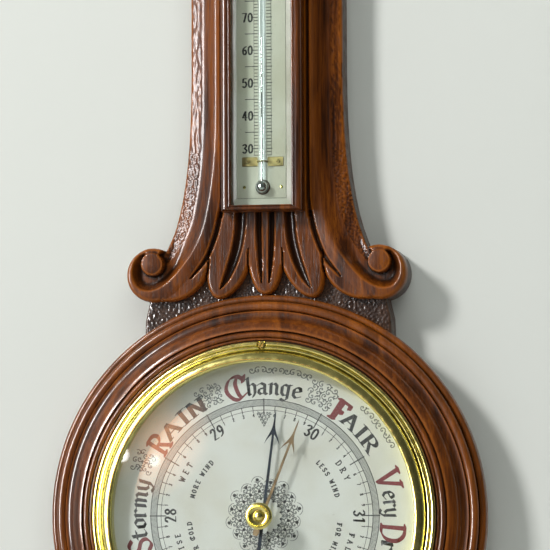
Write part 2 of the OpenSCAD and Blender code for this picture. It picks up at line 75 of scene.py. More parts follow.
BOARD = extent("backboard")
CARVING = extent("neck_carving")
SURROUND = extent("dial_surround")
BEZEL = extent("bezel")
GLASS = extent("dial_glass")
CARD = extent("dial_card")
BOX = extent("thermometer_frame")
BOX_GLASS = extent("thermometer_glass")
SCALE = extent("scale_plate")
TUBE = extent("thermometer_tube")
CLIP = extent("tube_clip")

# ---- Points and meshes -----------------------------------------------------


def row(points):
    """Points given as x, d, z in millimetres, in the row frame in metres."""
    p = np.asarray(points, float).reshape(-1, 3)
    return np.stack([p[:, 0] * MM, -p[:, 1] * MM, DIAL_Z + p[:, 2] * MM], 1)


def placed(name, data):
    """A new object of the scene."""
    obj = bpy.data.objects.new(name, data)
    bpy.context.scene.collection.objects.link(obj)
    return obj


def piece(name, points, faces, material, slot, body="case", replaces=(), crease=35):
    """A mesh piece that rides on a body, if it has one, with smooth faces and sharp creases."""
    mesh = bpy.data.meshes.new(name)
    mesh.from_pydata(row(points).tolist(), [], [list(f) for f in faces])
    bm = bmesh.new()
    bm.from_mesh(mesh)
    bmesh.ops.remove_doubles(bm, verts=bm.verts, dist=1e-6)
    bmesh.ops.recalc_face_normals(bm, faces=bm.faces)
    bm.to_mesh(mesh)
    bm.free()
    mesh.materials.append(material)
    mesh.shade_smooth()
    mesh.set_sharp_from_angle(angle=math.radians(crease))
    obj = placed(name, mesh)
    if body:
        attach(obj, body)
    if replaces:
        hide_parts(*replaces)
    return obj


def joined(*parts):
    """Several (points, faces) pairs as one."""
    points, faces, count = [], [], 0
    for p, f in parts:
        p = np.asarray(p, float).reshape(-1, 3)
        points.append(p)
        faces.extend([tuple(i + count for i in face) for face in f])
        count += len(p)
    return np.concatenate(points), faces


def compass(angle):
    """The sine and cosine of an angle on the dial."""
    return math.sin(math.radians(angle)), math.cos(math.radians(angle))


def arc(x, y, r, start, end, steps):
    """Points round a circle, from one angle to another in degrees."""
    return [
        (x + r * math.cos(math.radians(start + (end - start) * i / steps)),
         y + r * math.sin(math.radians(start + (end - start) * i / steps)))
        for i in range(steps + 1)
    ]


def curve(a, b, c, e, steps=10):
    """Points of a cubic curve, without its first point."""
    a, b, c, e = (np.array(p, float) for p in (a, b, c, e))
    t = np.arange(1, steps + 1)[:, None] / steps
    s = 1 - t
    p = s ** 3 * a + 3 * s * s * t * b + 3 * s * t * t * c + t ** 3 * e
    return [tuple(q) for q in p]


def smooth_line(points, steps=5):
    """A curve through all the points of a line."""
    p = [np.array(q, float) for q in points]
    p = [2 * p[0] - p[1]] + p + [2 * p[-1] - p[-2]]
    made = [tuple(p[1])]
    for a, b, c, e in zip(p, p[1:], p[2:], p[3:]):
        for i in range(1, steps + 1):
            t = i / steps
            q = 0.5 * (2 * b + (c - a) * t + (2 * a - 5 * b + 4 * c - e) * t * t
                       + (3 * b - a - 3 * c + e) * t ** 3)
            made.append(tuple(q))
    return made


def turned(profile, x=0, z=0, segments=192):
    """A closed profile of radius and depth, turned about an axis square to the wall."""
    r, d = np.array(profile, float).T
    angle = np.linspace(0, 2 * math.pi, segments, endpoint=False)[:, None]
    points = np.stack([x + np.sin(angle) * r, np.zeros_like(angle) + d, z + np.cos(angle) * r], -1)
    return points.reshape(-1, 3), tube_faces(segments, len(r), True, True)


def upright(profile, x=0, d=0, segments=32):
    """A closed profile of radius and height, turned about an upright axis."""
    r, z = np.array(profile, float).T
    angle = np.linspace(0, 2 * math.pi, segments, endpoint=False)[:, None]
    points = np.stack([x + np.sin(angle) * r, d + np.cos(angle) * r, np.zeros_like(angle) + z], -1)
    return points.reshape(-1, 3), tube_faces(segments, len(r), True, True)


def tube_faces(rows, columns, wrap_rows, wrap_columns):
    """Quads over a grid of points kept row by row."""
    faces = []
    for i in range(rows if wrap_rows else rows - 1):
        for j in range(columns if wrap_columns else columns - 1):
            k = (i + 1) % rows
            m = (j + 1) % columns
            faces.append((i * columns + j, i * columns + m, k * columns + m, k * columns + j))
    return faces


def band(start, n):
    """Quads between the ring of n points that begins at start and the ring after it."""
    return [(start + i, start + (i + 1) % n, start + n + (i + 1) % n, start + n + i) for i in range(n)]


def prism(outline, d0, d1):
    """A flat outline of x and z, given thickness from d0 to d1."""
    n = len(outline)
    points = [(x, d, z) for d in (d0, d1) for x, z in outline]
    return points, [tuple(range(n)), tuple(range(n, 2 * n))] + band(0, n)


def bevelled(outline, d0, d1, bevel):
    """A prism whose front edge is bevelled."""
    p = np.array(outline, float)
    along = np.roll(p, -1, 0) - np.roll(p, 1, 0)
    along /= np.linalg.norm(along, axis=1)[:, None] + 1e-9
    area = np.sum(p[:, 0] * np.roll(p[:, 1], -1) - np.roll(p[:, 0], -1) * p[:, 1])
    inset = p + np.sign(area) * bevel * np.stack([-along[:, 1], along[:, 0]], 1)
    n = len(p)
    rings = [(p, d0), (p, d1 - bevel), (inset, d1)]
    points = [(x, d, z) for ring, d in rings for x, z in ring]
    return points, [tuple(range(n)), tuple(range(2 * n, 3 * n))] + band(0, n) + band(n, n)


def mark_wear(obj, reach=6):
    """Stores how hollow the surface is at each point: above 0 in grooves, below 0 on edges. The oak paints
    shade in the grooves and lightens the edges from it.
    """
    mesh = obj.data
    n = len(mesh.vertices)
    co, normal = np.zeros(n * 3), np.zeros(n * 3)
    mesh.vertices.foreach_get("co", co)
    mesh.vertices.foreach_get("normal", normal)
    co, normal = co.reshape(-1, 3), normal.reshape(-1, 3)
    edges = np.zeros(len(mesh.edges) * 2, int)
    mesh.edges.foreach_get("vertices", edges)
    a, b = edges.reshape(-1, 2).T
    weight = 1 / (np.linalg.norm(co[a] - co[b], axis=1) + 1e-5)
    total = np.bincount(a, weight, n) + np.bincount(b, weight, n) + 1e-9
    spread = co.copy()
    for _ in range(reach):
        spread = np.stack([
            (np.bincount(a, weight * spread[b, k], n) + np.bincount(b, weight * spread[a, k], n)) / total
            for k in range(3)
        ], 1)
    hollow = np.einsum("ij,ij->i", spread - co, normal) / MM
    hollow = np.clip(hollow / 0.35, -1, 1)
    mesh.attributes.new("hollow", "FLOAT", "POINT").data.foreach_set("value", hollow.astype(np.float32))
    return obj


# ---- Materials -------------------------------------------------------------


class Nodes:
    """The shader nodes of a material or a world."""

    def __init__(self, owner):
        owner.use_nodes = True
        self.tree = owner.node_tree

    def add(self, kind, inputs=None, **settings):
        node = self.tree.nodes.new(kind)
        for key, value in settings.items():
            setattr(node, key, value)
        for key, value in (inputs or {}).items():
            if isinstance(value, bpy.types.NodeSocket):
                self.tree.links.new(value, node.inputs[key])
            else:
                node.inputs[key].default_value = value
        return node

    def noise(self, place, scale, detail=3, distortion=0.0, roughness=0.5):
        node = self.add("ShaderNodeTexNoise", {
            "Vector": place, "Scale": scale, "Detail": detail,
            "Distortion": distortion, "Roughness": roughness,
        })
        return node.outputs["Fac"]

    def ramp(self, value, *stops):
        """A colour ramp, from (position, colour) stops."""
        node = self.add("ShaderNodeValToRGB", {"Fac": value})
        elements = node.color_ramp.elements
        for element, (position, colour) in zip(elements, stops):
            element.position = position
            element.color = (*colour, 1)
        for position, colour in stops[2:]:
            elements.new(position).color = (*colour, 1)
        return node.outputs["Color"]

    def span(self, value, low, high, to_low, to_high):
        node = self.add("ShaderNodeMapRange", {
            "Value": value, "From Min": low, "From Max": high, "To Min": to_low, "To Max": to_high,
        })
        return node.outputs["Result"]

    def mix(self, factor, a, b):
        """One colour mixed into another: the node's sockets 0, 6 and 7."""
        a, b = (c if isinstance(c, bpy.types.NodeSocket) else (*c, 1) for c in (a, b))
        return self.add("ShaderNodeMix", {0: factor, 6: a, 7: b}, data_type="RGBA").outputs[2]

    def math(self, operation, a, b=0.0):
        return self.add("ShaderNodeMath", {0: a, 1: b}, operation=operation).outputs[0]


class Shader(Nodes):
    """A node material under construction."""

    def __init__(self, name):
        self.material = bpy.data.materials.new(name)
        super().__init__(self.material)
        self.surface = self.tree.nodes["Principled BSDF"]
        self.output = self.tree.nodes["Material Output"]
        self.place = self.add("ShaderNodeTexCoord").outputs["Object"]

    def stretched(self, x, y, z):
        return self.add("ShaderNodeMapping", {"Vector": self.place, "Scale": (x, y, z)}).outputs[0]

    def hollow(self):
        """How hollow each point of the mesh is, as marked on it; the oak paints shade in its grooves from it.
        """
        return self.add("ShaderNodeAttribute", attribute_name="hollow").outputs["Fac"]

    def bump(self, height, strength, distance):
        node = self.add("ShaderNodeBump", {"Height": height, "Strength": strength, "Distance": distance})
        self.tree.links.new(node.outputs["Normal"], self.surface.inputs["Normal"])

    def set(self, **inputs):
        """Sets the surface shader's inputs, with underscores for spaces."""
        for key, value in inputs.items():
            socket = self.surface.inputs[key.replace("_", " ")]
            if isinstance(value, bpy.types.NodeSocket):
                self.tree.links.new(value, socket)
            else:
                socket.default_value = value

    def show_mixed(self, factor, a, b):
        """Makes the material a mix of two shader nodes."""
        both = self.add("ShaderNodeMixShader", {0: factor, 1: a.outputs[0], 2: b.outputs[0]})
        self.tree.links.new(both.outputs[0], self.output.inputs["Surface"])


def oak(name, deep, mid, bright, coat=0.55, hollow_shade_and_grime=0.85):
    """Stained and varnished oak with the grain upright: painted shade, with some grime, darkens its grooves,
    and its edges are lightened as wear and as a painted highlight.
    """
    s = Shader(name)
    figure = s.noise(s.stretched(1, 1, 0.14), 60, 4, 1.2)
    streak = s.noise(s.stretched(1, 1, 0.035), 650, 4, 0.4, 0.6)
    pores = s.noise(s.stretched(1, 1, 0.03), 1900, 2)
    tone = s.math("ADD", s.math("MULTIPLY", figure, 0.6), s.math("MULTIPLY", streak, 0.4))
    colour = s.ramp(tone, (0.38, deep), (0.72, bright), (0.53, mid))
    flecks = s.span(pores, 0.58, 0.7, 0, 0.55)
    colour = s.mix(flecks, colour, tuple(c * 0.25 for c in deep))
    hollow = s.hollow()
    # Painted shade: the hollows are darkened almost to black, standing in for shade in the grooves, with some
    # grime.
    colour = s.mix(s.span(hollow, 0.05, 0.75, 0, hollow_shade_and_grime), colour, (0.008, 0.004, 0.002))
    # Painted highlight and wear: convex edges are lightened, partly as worn stain and partly standing in for
    # light catching the edges.
    colour = s.mix(s.span(hollow, -0.25, -1, 0, 0.45), colour, tuple(c * 1.6 for c in bright))
    rough = s.span(s.noise(s.place, 120, 3), 0.3, 0.7, 0.3, 0.5)
    height = s.math("SUBTRACT", s.math("MULTIPLY", streak, 0.35), s.span(pores, 0.56, 0.7, 0, 0.8))
    s.bump(height, 0.5, 0.0002)
    s.set(Base_Color=colour, Roughness=rough, Specular_IOR_Level=0.12, Coat_Weight=coat, Coat_Roughness=0.12)
    return s.material


def metal(name, colour, tarnish, rough, grain=(1, 1, 1), scale=300):
    """Lacquered or polished metal, with tarnish in its grooves."""
    s = Shader(name)
    cloud = s.noise(s.place, 90, 4, 0.6)
    fine = s.noise(s.stretched(*grain), scale, 3)
    tone = s.mix(s.span(cloud, 0.4, 0.75, 0, 0.65), colour, tarnish)
    hollow = s.span(s.hollow(), 0.05, 0.8, 0, 0.75)
    tone = s.mix(hollow, tone, tuple(c * 0.3 for c in tarnish))
    s.bump(fine, 0.08, 0.0001)
    s.set(Base_Color=tone, Metallic=1.0, Roughness=s.span(fine, 0.3, 0.7, rough * 0.8, rough * 1.35))
    return s.material


def enamel(name, colour, stain, rough=0.4):
    """White enamel or opal glass that has yellowed a little, with a few specks."""
    s = Shader(name)
    cloud = s.noise(s.place, 35, 5, 0.3)
    tone = s.mix(s.span(cloud, 0.42, 0.75, 0, 0.8), colour, stain)
    specks = s.noise(s.place, 420, 2)
    tone = s.mix(s.span(specks, 0.72, 0.8, 0, 0.5), tone, tuple(c * 0.45 for c in stain))
    s.bump(s.noise(s.place, 700, 2), 0.05, 0.0001)
    s.set(Base_Color=tone, Roughness=rough, Coat_Weight=0.2, Coat_Roughness=0.2)
    return s.material


def ink(name, colour, wear=0.35):
    """Fired printing ink, thin in places."""
    s = Shader(name)
    thin = s.noise(s.place, 900, 3)
    tone = s.mix(s.span(thin, 0.5, 0.8, 0, wear), colour, (0.45, 0.45, 0.42))
    s.set(Base_Color=tone, Roughness=0.45)
    return s.material


def glass(name, tint, rough, strength=1.0):
    """Thin clear glass: mostly seen through, with a reflection that grows at a slant."""
    s = Shader(name)
    s.tree.nodes.remove(s.surface)
    clear = s.add("ShaderNodeBsdfTransparent", {"Color": (*tint, 1)})
    smears = s.noise(s.place, 25, 4, 1.5)
    gloss = s.add("ShaderNodeBsdfGlossy", {"Color": (1, 1, 1, 1)})
    s.tree.links.new(s.span(smears, 0.35, 0.75, rough, rough * 3), gloss.inputs["Roughness"])
    facing = s.add("ShaderNodeLayerWeight", {"Blend": 0.5}).outputs["Facing"]
    s.show_mixed(s.span(s.math("POWER", facing, 4.0), 0, 1, 0.045 * strength, 0.9), clear, gloss)
    return s.material


# After the coat, the next number sets how dark the painted shade, with some grime, is in the hollows; 0.85 if
# left out.
OAK = oak("varnished_oak", (0.035, 0.009, 0.002), (0.15, 0.038, 0.004), (0.33, 0.095, 0.008), 0.24)
TURNED_OAK = oak("turned_oak", (0.04, 0.01, 0.002), (0.15, 0.038, 0.005), (0.34, 0.1, 0.01), 0.5, 0.95)
DARK_OAK = oak("matted_oak", (0.02, 0.009, 0.006), (0.05, 0.024, 0.014), (0.1, 0.05, 0.028), 0.6, 0.5)
BACK_OAK = oak("backboard_oak", (0.03, 0.01, 0.004), (0.085, 0.028, 0.009), (0.17, 0.06, 0.018), 0.3)
BACK_BOARD = oak("rear_pine", (0.05, 0.028, 0.014), (0.11, 0.065, 0.033), (0.19, 0.12, 0.065), 0.0)
BRASS = metal("lacquered_brass", (0.82, 0.73, 0.25), (0.5, 0.45, 0.14), 0.2)
OLD_BRASS = metal("tarnished_brass", (0.42, 0.36, 0.17), (0.16, 0.13, 0.06), 0.35)
WORKS_BRASS = metal("movement_brass", (0.7, 0.53, 0.22), (0.42, 0.3, 0.12), 0.3, (1, 1, 0.1))
STEEL = metal("polished_steel", (0.55, 0.56, 0.58), (0.32, 0.3, 0.28), 0.25)
HAND_BRONZE = metal("bronzed_brass", (0.24, 0.18, 0.11), (0.12, 0.085, 0.05), 0.35)
BLUED = metal("blued_steel", (0.04, 0.05, 0.065), (0.02, 0.022, 0.026), 0.35)
CAPSULE = metal("nickelled_capsule", (0.62, 0.6, 0.55), (0.4, 0.37, 0.3), 0.3)
MERCURY = metal("mercury_column", (0.72, 0.73, 0.75), (0.6, 0.61, 0.63), 0.08)
ENAMEL = enamel("dial_enamel", (0.82, 0.83, 0.8), (0.7, 0.68, 0.6))
OPAL = enamel("scale_opal", (0.8, 0.78, 0.7), (0.66, 0.63, 0.51))
WHITE = enamel("tube_white", (0.85, 0.86, 0.84), (0.75, 0.76, 0.72))
BLACK_INK = ink("black_ink", (0.018, 0.018, 0.02))
RED_INK = ink("red_ink", (0.22, 0.018, 0.025), 0.25)
GREY_INK = ink("grey_ink", (0.16, 0.17, 0.17), 0.5)
DIAL_GLASS = glass("dial_glass", (0.97, 0.985, 0.975), 0.01)
BOX_GLAZING = glass("box_glass", (0.93, 0.96, 0.93), 0.015)
# Painted light on the thermometer glass's bevel: a darker, duller copy for the left side (painted shade), a
# brighter, more reflective copy for the right side (painted glint), and a dark tint on the arris (painted
# shade).
PAINTED_SHADE_BEVEL = glass("bevel_painted_shade", (0.84, 0.89, 0.86), 0.3, 0.5)
PAINTED_GLINT_BEVEL = glass("bevel_painted_glint", (1, 1, 1), 0.3, 3.0)
PAINTED_SHADE_ARRIS = glass("arris_painted_shade", (0.5, 0.54, 0.5), 0.2, 0.5)
TUBE_GLASS = glass("tube_glass", (0.95, 0.97, 0.99), 0.14, 0.8)

# ---- Carving ---------------------------------------------------------------

BOX_MIDDLE = (BOX.z0 + BOX.z1) / 2
BOX_HALF = (BOX.z1 - BOX.z0) / 2
RAIL_WIDTH = 6.9
END_SHARE = 4 / RAIL_WIDTH
NECK_HALF = 51.3
RELIEF = CARVING.d1 - 3
STRIP = RELIEF - 5.8
COVE_WIDTH = 9.4
GROUND = 22
VOLUTE = (76.3, 40.7)
VOLUTE_R = CARVING.x1 - VOLUTE[0]
EYE = (76.6, 33.5)
EYE_R = 8.2
GRID = 0.6


def mirrored(half):
    """Half an outline and its mirror image across the middle line."""
    return list(half) + [(-u, v) for u, v in half[-2:0:-1]]


def ornament_outline():
    """The scroll and leaves as half width and distance past the box's end."""
    return mirrored(
        [(0, -180), (NECK_HALF, -180), (NECK_HALF, -99)]
        + curve((NECK_HALF, -99), (NECK_HALF, -39), (56, 1), (69.3, 27), 24)
        + [(74, 50), (71.5, 58.05)]
        + curve((71.5, 58.05), (58, 60.5), (43, 53), (39.4, 38), 16)
        + curve((39.4, 38), (40.5, 51), (36, 57.5), (31.2, 57.2))
        + curve((31.2, 57.2), (24, 56.7), (15.5, 48), (11.5, 36.5))
        + curve((11.5, 36.5), (9.5, 46), (6.5, 54.8), (0, 54.8))
    )


def ridge_line():
    """The crest of the long moulding, down the neck and round the scroll."""
    return (
        [(34.2, -180), (34.2, -75)]
        + curve((34.2, -75), (34.2, -40), (36.5, -20), (41, 1.7), 16)
        + curve((41, 1.7), (43.5, 14), (50, 28), (62, 41), 16)
        + curve((62, 41), (67, 46.5), (76, 53), (84, 50), 12)
        + curve((84, 50), (91.5, 46.5), (92, 34), (86, 27), 12)
        + curve((86, 27), (83.5, 24.6), (80, 23.6), (77, 24), 6)
    )


def stretches(u, v, line):
    """For each stretch of a line, the share of it that lies behind each point, and the distance off."""
    for (ax, ay), (bx, by) in zip(line, line[1:]):
        ex, ey = bx - ax, by - ay
        t = np.clip(((u - ax) * ex + (v - ay) * ey) / (ex * ex + ey * ey), 0, 1)
        yield t, np.hypot(u - ax - t * ex, v - ay - t * ey)


def line_distance(u, v, line):
    """Distance to an open line."""
    best = np.full(u.shape, 1e9)
    for _, off in stretches(u, v, line):
        best = np.minimum(best, off)
    return best


def inside_of(u, v, outline):
    """Whether each point is inside an outline."""
    inside = np.zeros(u.shape, bool)
    for (ax, ay), (bx, by) in zip(outline, outline[1:] + outline[:1]):
        if ay != by:
            inside ^= ((ay > v) != (by > v)) & (u < (bx - ax) * (v - ay) / (by - ay) + ax)
    return inside


def signed_distance(u, v, outline):
    """Distance to an outline, below 0 inside it."""
    distance = line_distance(u, v, outline + outline[:1])
    return np.where(inside_of(u, v, outline), -distance, distance)


def gouged(u, v, line, w0, w1, depth):
    """Depth of a cut along a line whose width goes from w0 to w1."""
    cut = np.zeros(u.shape)
    count = len(line) - 1
    for i, (t, off) in enumerate(stretches(u, v, line)):
        half = (w0 + (w1 - w0) * ((i + t) / count) ** 4) / 2
        cut = np.maximum(cut, depth * (half * 2 / w0) ** 0.7 * np.clip(1 - (off / half) ** 2.5, 0, 1))
    return cut


def rounded(distance, radius):
    """How far a rounded edge falls at a distance inside the outline."""
    t = np.clip(1 - distance / radius, 0, 1)
    return radius * (1 - np.sqrt(1 - t * t))


def punched(x, z, cell=1.7, depth=0.4):
    """A field of irregular punch marks."""
    best = np.zeros(x.shape)
    i0, j0 = np.floor(x / cell), np.floor(z / cell)
    for di in (-1, 0, 1):
        for dj in (-1, 0, 1):
            i, j = i0 + di, j0 + dj
            a = np.sin(i * 127.1 + j * 311.7) * 43758.5453
            b = np.sin(i * 269.5 + j * 183.3) * 43758.5453
            a, b = a - np.floor(a), b - np.floor(b)
            off = np.hypot(x - (i + a) * cell, z - (j + b) * cell) / (cell * (0.45 + 0.3 * a))
            best = np.maximum(best, np.clip(1 - off * off, 0, 1))
    return depth * best


def long_moulding(u, v, edge):
    """The flat inside the ridge, and the cove and punched strip outside it."""
    ridge = ridge_line()
    beyond = [(72.5, 25.5), (68.3, 22), (62, 0), (58, -39), (58, -180)]
    from_ridge = line_distance(u, v, ridge)
    in_cove = inside_of(u, v, ridge + beyond)
    outward = np.where(in_cove, from_ridge, -from_ridge)
    in_scroll = np.clip((v - 18) / 16, 0, 1)
    nose = 2.2 - 1.2 * in_scroll
    sweep = 12.6 - 6.4 * in_scroll
    t = np.clip((outward + nose) / sweep, 0, 1)
    fall = (RELIEF - STRIP + 0.6 * in_scroll) * (1 - np.cos(math.pi * t ** 0.85)) / 2
    lean = 0.9 * np.clip(from_ridge / 9, 0, 1) ** 2
    height = RELIEF - fall - np.where(in_cove, rounded(edge, 0.8), lean + rounded(edge, 2.6))
    past_cove = from_ridge - COVE_WIDTH
    strip = punched(u + 0.07 * v, v) + 0.34 * np.clip(past_cove, 0, 10)
    return height - np.where(in_cove & (past_cove > 0), strip, 0), in_cove


def gouge_cuts(u, v):
    """The gouge's cuts, each a line with its width at both ends and its depth."""
    return [gouged(u, v, smooth_line(line), *cut) for line, cut in (
        ([(30.3, 0), (33.5, 14), (40, 30), (50.5, 43.2)], (3.6, 1.2, 3.4)),
        ([(16.2, -5), (17.4, 14), (20.4, 28), (25.2, 41), (30.3, 50.6)], (7.8, 1.0, 5.2)),
        ([(4.4, -2), (4.3, 16), (3.6, 32), (2.6, 47)], (4.4, 0.8, 4.0)),
        ([(39.4, 40), (38.5, 33), (38.6, 25)], (1.8, 0.8, 2.4)),
        ([(11.5, 38), (11.7, 31), (11.4, 24)], (1.6, 0.8, 2.0)),
    )]


def relief_height(u, v, edge):
    """Depth from the wall of the carved surface. edge is the distance inside the outline."""
    height, in_cove = long_moulding(u, v, edge)
    beside_box = [(28.8, -180), (28.8, -30), (29.2, -8), (30.3, 2)]
    for cut in [gouged(u, v, beside_box, 2.8, 3.4, 2.6)] + gouge_cuts(u, v):
        height -= np.where(in_cove, 0, cut)
    from_eye = np.hypot(u - EYE[0], v - EYE[1])
    bearing = np.degrees(np.arctan2(u - EYE[0], EYE[1] - v))
    joins = np.clip((bearing + 42) / 8, 0, 1) * np.clip((50 - bearing) / 22, 0, 1)
    bridge = RELIEF + 1.2 - 0.06 * (from_eye - EYE_R) - rounded(edge, 2.6)
    past_eye = in_cove | (edge < VOLUTE_R)
    near_eye = (from_eye > EYE_R - 1) & (from_eye < EYE_R + 5) & past_eye
    height = np.where(near_eye, height + joins * np.clip(bridge - height, 0, 9), height)
    rise = np.clip((EYE_R - from_eye) / 0.9, 0, 1)
    rise = rise * rise * (3 - 2 * rise)
    dome = RELIEF + 1.3 + 0.9 * (1 - (from_eye / EYE_R) ** 2) - 0.05 * (v - EYE[1])
    return np.where(from_eye < EYE_R, height + (dome - height) * rise, height)


def snapped_sheet(us, vs, distance):
    """Faces of a grid trimmed to an outline, with the points near the outline moved onto it."""
    u, v = np.meshgrid(us, vs)
    step = us[1] - us[0]
    sd = distance(u, v)
    near = np.abs(sd) < 0.56 * step
    small = 0.02
    gu = (distance(u + small, v) - sd) / small
    gv = (distance(u, v + small) - sd) / small
    size = np.maximum(np.hypot(gu, gv), 0.3)
    free_u, free_v = np.abs(u - us[0]) > 1e-6, np.abs(v - vs[0]) > 1e-6
    u = np.where(near & free_u, u - sd * gu / size, u)
    v = np.where(near & free_v, v - sd * gv / size, v)
    kept = (sd < 0) | near
    rows, columns = u.shape
    index = np.arange(rows * columns).reshape(rows, columns)
    corners = np.stack([index[:-1, :-1], index[:-1, 1:], index[1:, 1:], index[1:, :-1]], -1).reshape(-1, 4)
    inside = kept.ravel()[corners]
    deep = (sd.ravel() < -1e-9)[corners] | ~near.ravel()[corners]
    count = inside.sum(1)
    faces = [tuple(c) for c in corners[(count == 4) & deep.any(1)]]
    for c, keep in zip(corners[count == 3], inside[count == 3]):
        faces.append(tuple(c[keep]))
    return u.ravel(), v.ravel(), faces


def walled(points, faces, floor, seams=()):
    """A sheet with walls from its rim down to depth floor. Seams are (axis, place) planes left open."""
    count = {}
    for face in faces:
        for a, b in zip(face, face[1:] + face[:1]):
            key = (a, b) if a < b else (b, a)
            count[key] = count.get(key, 0) + 1
    used = sorted({i for face in faces for i in face})
    renumber = {old: new for new, old in enumerate(used)}
    points = points[used]
    faces = [tuple(renumber[i] for i in face) for face in faces]
    lower, below, walls = {}, [], []
    for (a, b), n in count.items():
        a, b = renumber.get(a), renumber.get(b)
        on_seam = any(
            abs(points[a][axis] - place) < 1e-6 and abs(points[b][axis] - place) < 1e-6
            for axis, place in seams
        )
        if n > 1 or on_seam:
            continue
        for i in (a, b):
            if i not in lower:
                lower[i] = len(points) + len(below)
                below.append((points[i][0], floor, points[i][2]))
        walls.append((a, b, lower[b], lower[a]))
    return np.concatenate([points, np.array(below)]), faces + walls


def carved_neck():
    """The carved front of the case, the same at both ends of the thermometer box."""
    outline = ornament_outline()

    def distance(u, v):
        volute = np.hypot(u - VOLUTE[0], v - VOLUTE[1]) - VOLUTE_R
        return np.minimum(signed_distance(u, v, outline), volute)

    us = np.arange(0, VOLUTE[0] + VOLUTE_R + 2 * GRID, GRID)
    fine = np.arange(-42, 61, GRID)
    coarse = np.linspace(-BOX_HALF, -42, 40)[:-1]
    u, v, faces = snapped_sheet(us, np.concatenate([coarse, fine]), distance)
    d = relief_height(u, v, -distance(u, v))
    quarter = np.stack([u, d, v], 1)
    quarter, faces = walled(quarter, faces, BOARD.d1, [(0, 0), (2, -BOX_HALF)])
    parts = []
    for side in (-1, 1):
        for end in (-1, 1):
            p = quarter.copy()
            p[:, 0] *= side
            p[:, 2] = BOX_MIDDLE + end * (p[:, 2] + BOX_HALF)
            parts.append((p, faces))
    obj = piece("carved_neck", *joined(*parts), OAK, "oak", replaces=["neck_carving"], crease=50)
    return mark_wear(obj)


def matted_ground():
    """The punched block between the lower scrolls and the dial surround."""
    block = mirrored([
        (0, 176), (60, 176), (79, 151), (80.5, 141), (83, 130), (83.5, 117), (60, 101), (0, 101),
    ])
    leaves = ornament_outline()

    def distance(x, z):
        under = signed_distance(x, BOX.z0 - z, leaves) + 1.5
        return np.maximum(
            np.maximum(signed_distance(x, z, block), SURROUND.x1 + 0.1 - np.hypot(x, z)), -under
        )

    xs = np.arange(0, 86, GRID)
    zs = np.arange(112, 178, GRID)
    x, z, faces = snapped_sheet(xs, zs, distance)
    edge = np.clip(-signed_distance(x, z, block), 0, 9)
    d = GROUND - 0.1 - punched(x, z) - rounded(edge, 1.5)
    half, faces = walled(np.stack([x, d, z], 1), faces, BOARD.d1, [(0, 0)])
    other = half * (-1, 1, 1)
    obj = piece("matted_ground", *joined((half, faces), (other, faces)), DARK_OAK, "oak", crease=60)
    return mark_wear(obj)


def shell(name, middle_z, radius, lobes, up, node):
    """A carved scallop: ribs that widen outwards from the shell's foot."""
    spread = 160
    step = spread / lobes
    lobe_r = radius * math.sin(math.radians(step / 2)) * 1.15
    from_foot = radius - 0.2 * lobe_r
    across, along = 16, 40
    angles = np.linspace(-spread / 2, spread / 2, lobes * across + 1)
    ratio = np.linspace(0.1, 1, along) ** 0.8
    phase = (angles + spread / 2) / step
    off = phase - np.clip(np.floor(phase), 0, lobes - 1) - 0.5
    slant = np.radians(off * step)
    reach = from_foot * np.cos(slant) + np.sqrt(lobe_r ** 2 - (from_foot * np.sin(slant)) ** 2)
    rib = np.sqrt(np.clip(1 - (1.9 * off) ** 2, 0, 1))[:, None]
    r = reach[:, None] * ratio
    a = np.radians(angles)[:, None]
    lift = 1.5 + (RELIEF - 4.5 - BOARD.d1 - 1.5) * ratio
    d = BOARD.d1 + 0.5 + lift * (0.3 + 0.7 * rib) - rounded(reach[:, None] - r, 2.2) * 0.8
    d -= 0.9 * np.clip(1 - np.abs(ratio - 0.62) / 0.025, 0, 1)
    points = np.stack([np.sin(a) * r, d, middle_z + up * np.cos(a) * r], -1).reshape(-1, 3)
    faces = tube_faces(len(angles), along, False, False)
    points, faces = walled(points, faces, BOARD.d1)
    obj = piece(name, points, faces, OAK, "oak", replaces=[node], crease=45)
    return mark_wear(obj)


def dial_surround():
    """The turned ring of beads, hollow and long slope."""
    r = SURROUND.x1
    rebate = 40
    profile = (
        [(92, SURROUND.d0), (r, SURROUND.d0), (r, 25)]
        + arc(r - 2.4, 26.2, 2.4, 0, 140, 8)
        + [(141.7, 26.9)]
        + arc(138.4, 31, 3.1, -20, 165, 12)
        + [(135.2, 33.6)]
        + arc(133.4, 38.2, 4.2, -70, -158, 8)
        + curve((129.4, 36.9), (128.4, 39.6), (124.8, 42.2), (122.3, 42.6), 8)
        + [(121.5, 41.0)]
        + arc(119.1, 41.5, 1.9, 20, 160, 8)
        + [(117.0, 41.0)]
        + arc(116.1, 41.3, 0.8, 20, 160, 5)
        + [(115.2, rebate), (104.5, rebate), (104.5, 33), (92, 33)]
    )
    obj = piece(
        "turned_surround", *turned(profile, segments=256), TURNED_OAK, "oak",
        replaces=["dial_surround"], crease=40,
    )
    return mark_wear(obj, 2)


carved_neck()
matted_ground()
shell("crest_scallop", BOX.z1 + 40, 70, 9, 1, "crest_shell")
shell("base_scallop", -130, 56, 7, -1, "base_shell")
dial_surround()

# ---- Bezel, glass, knob and hands ------------------------------------------

REBATE = BEZEL.d0
LIP_R = GLASS.x1 + 0.2
SCREW_R = 112.2
SCREW_ANGLES = (0, 120, 240)
SINK_D = 42.6


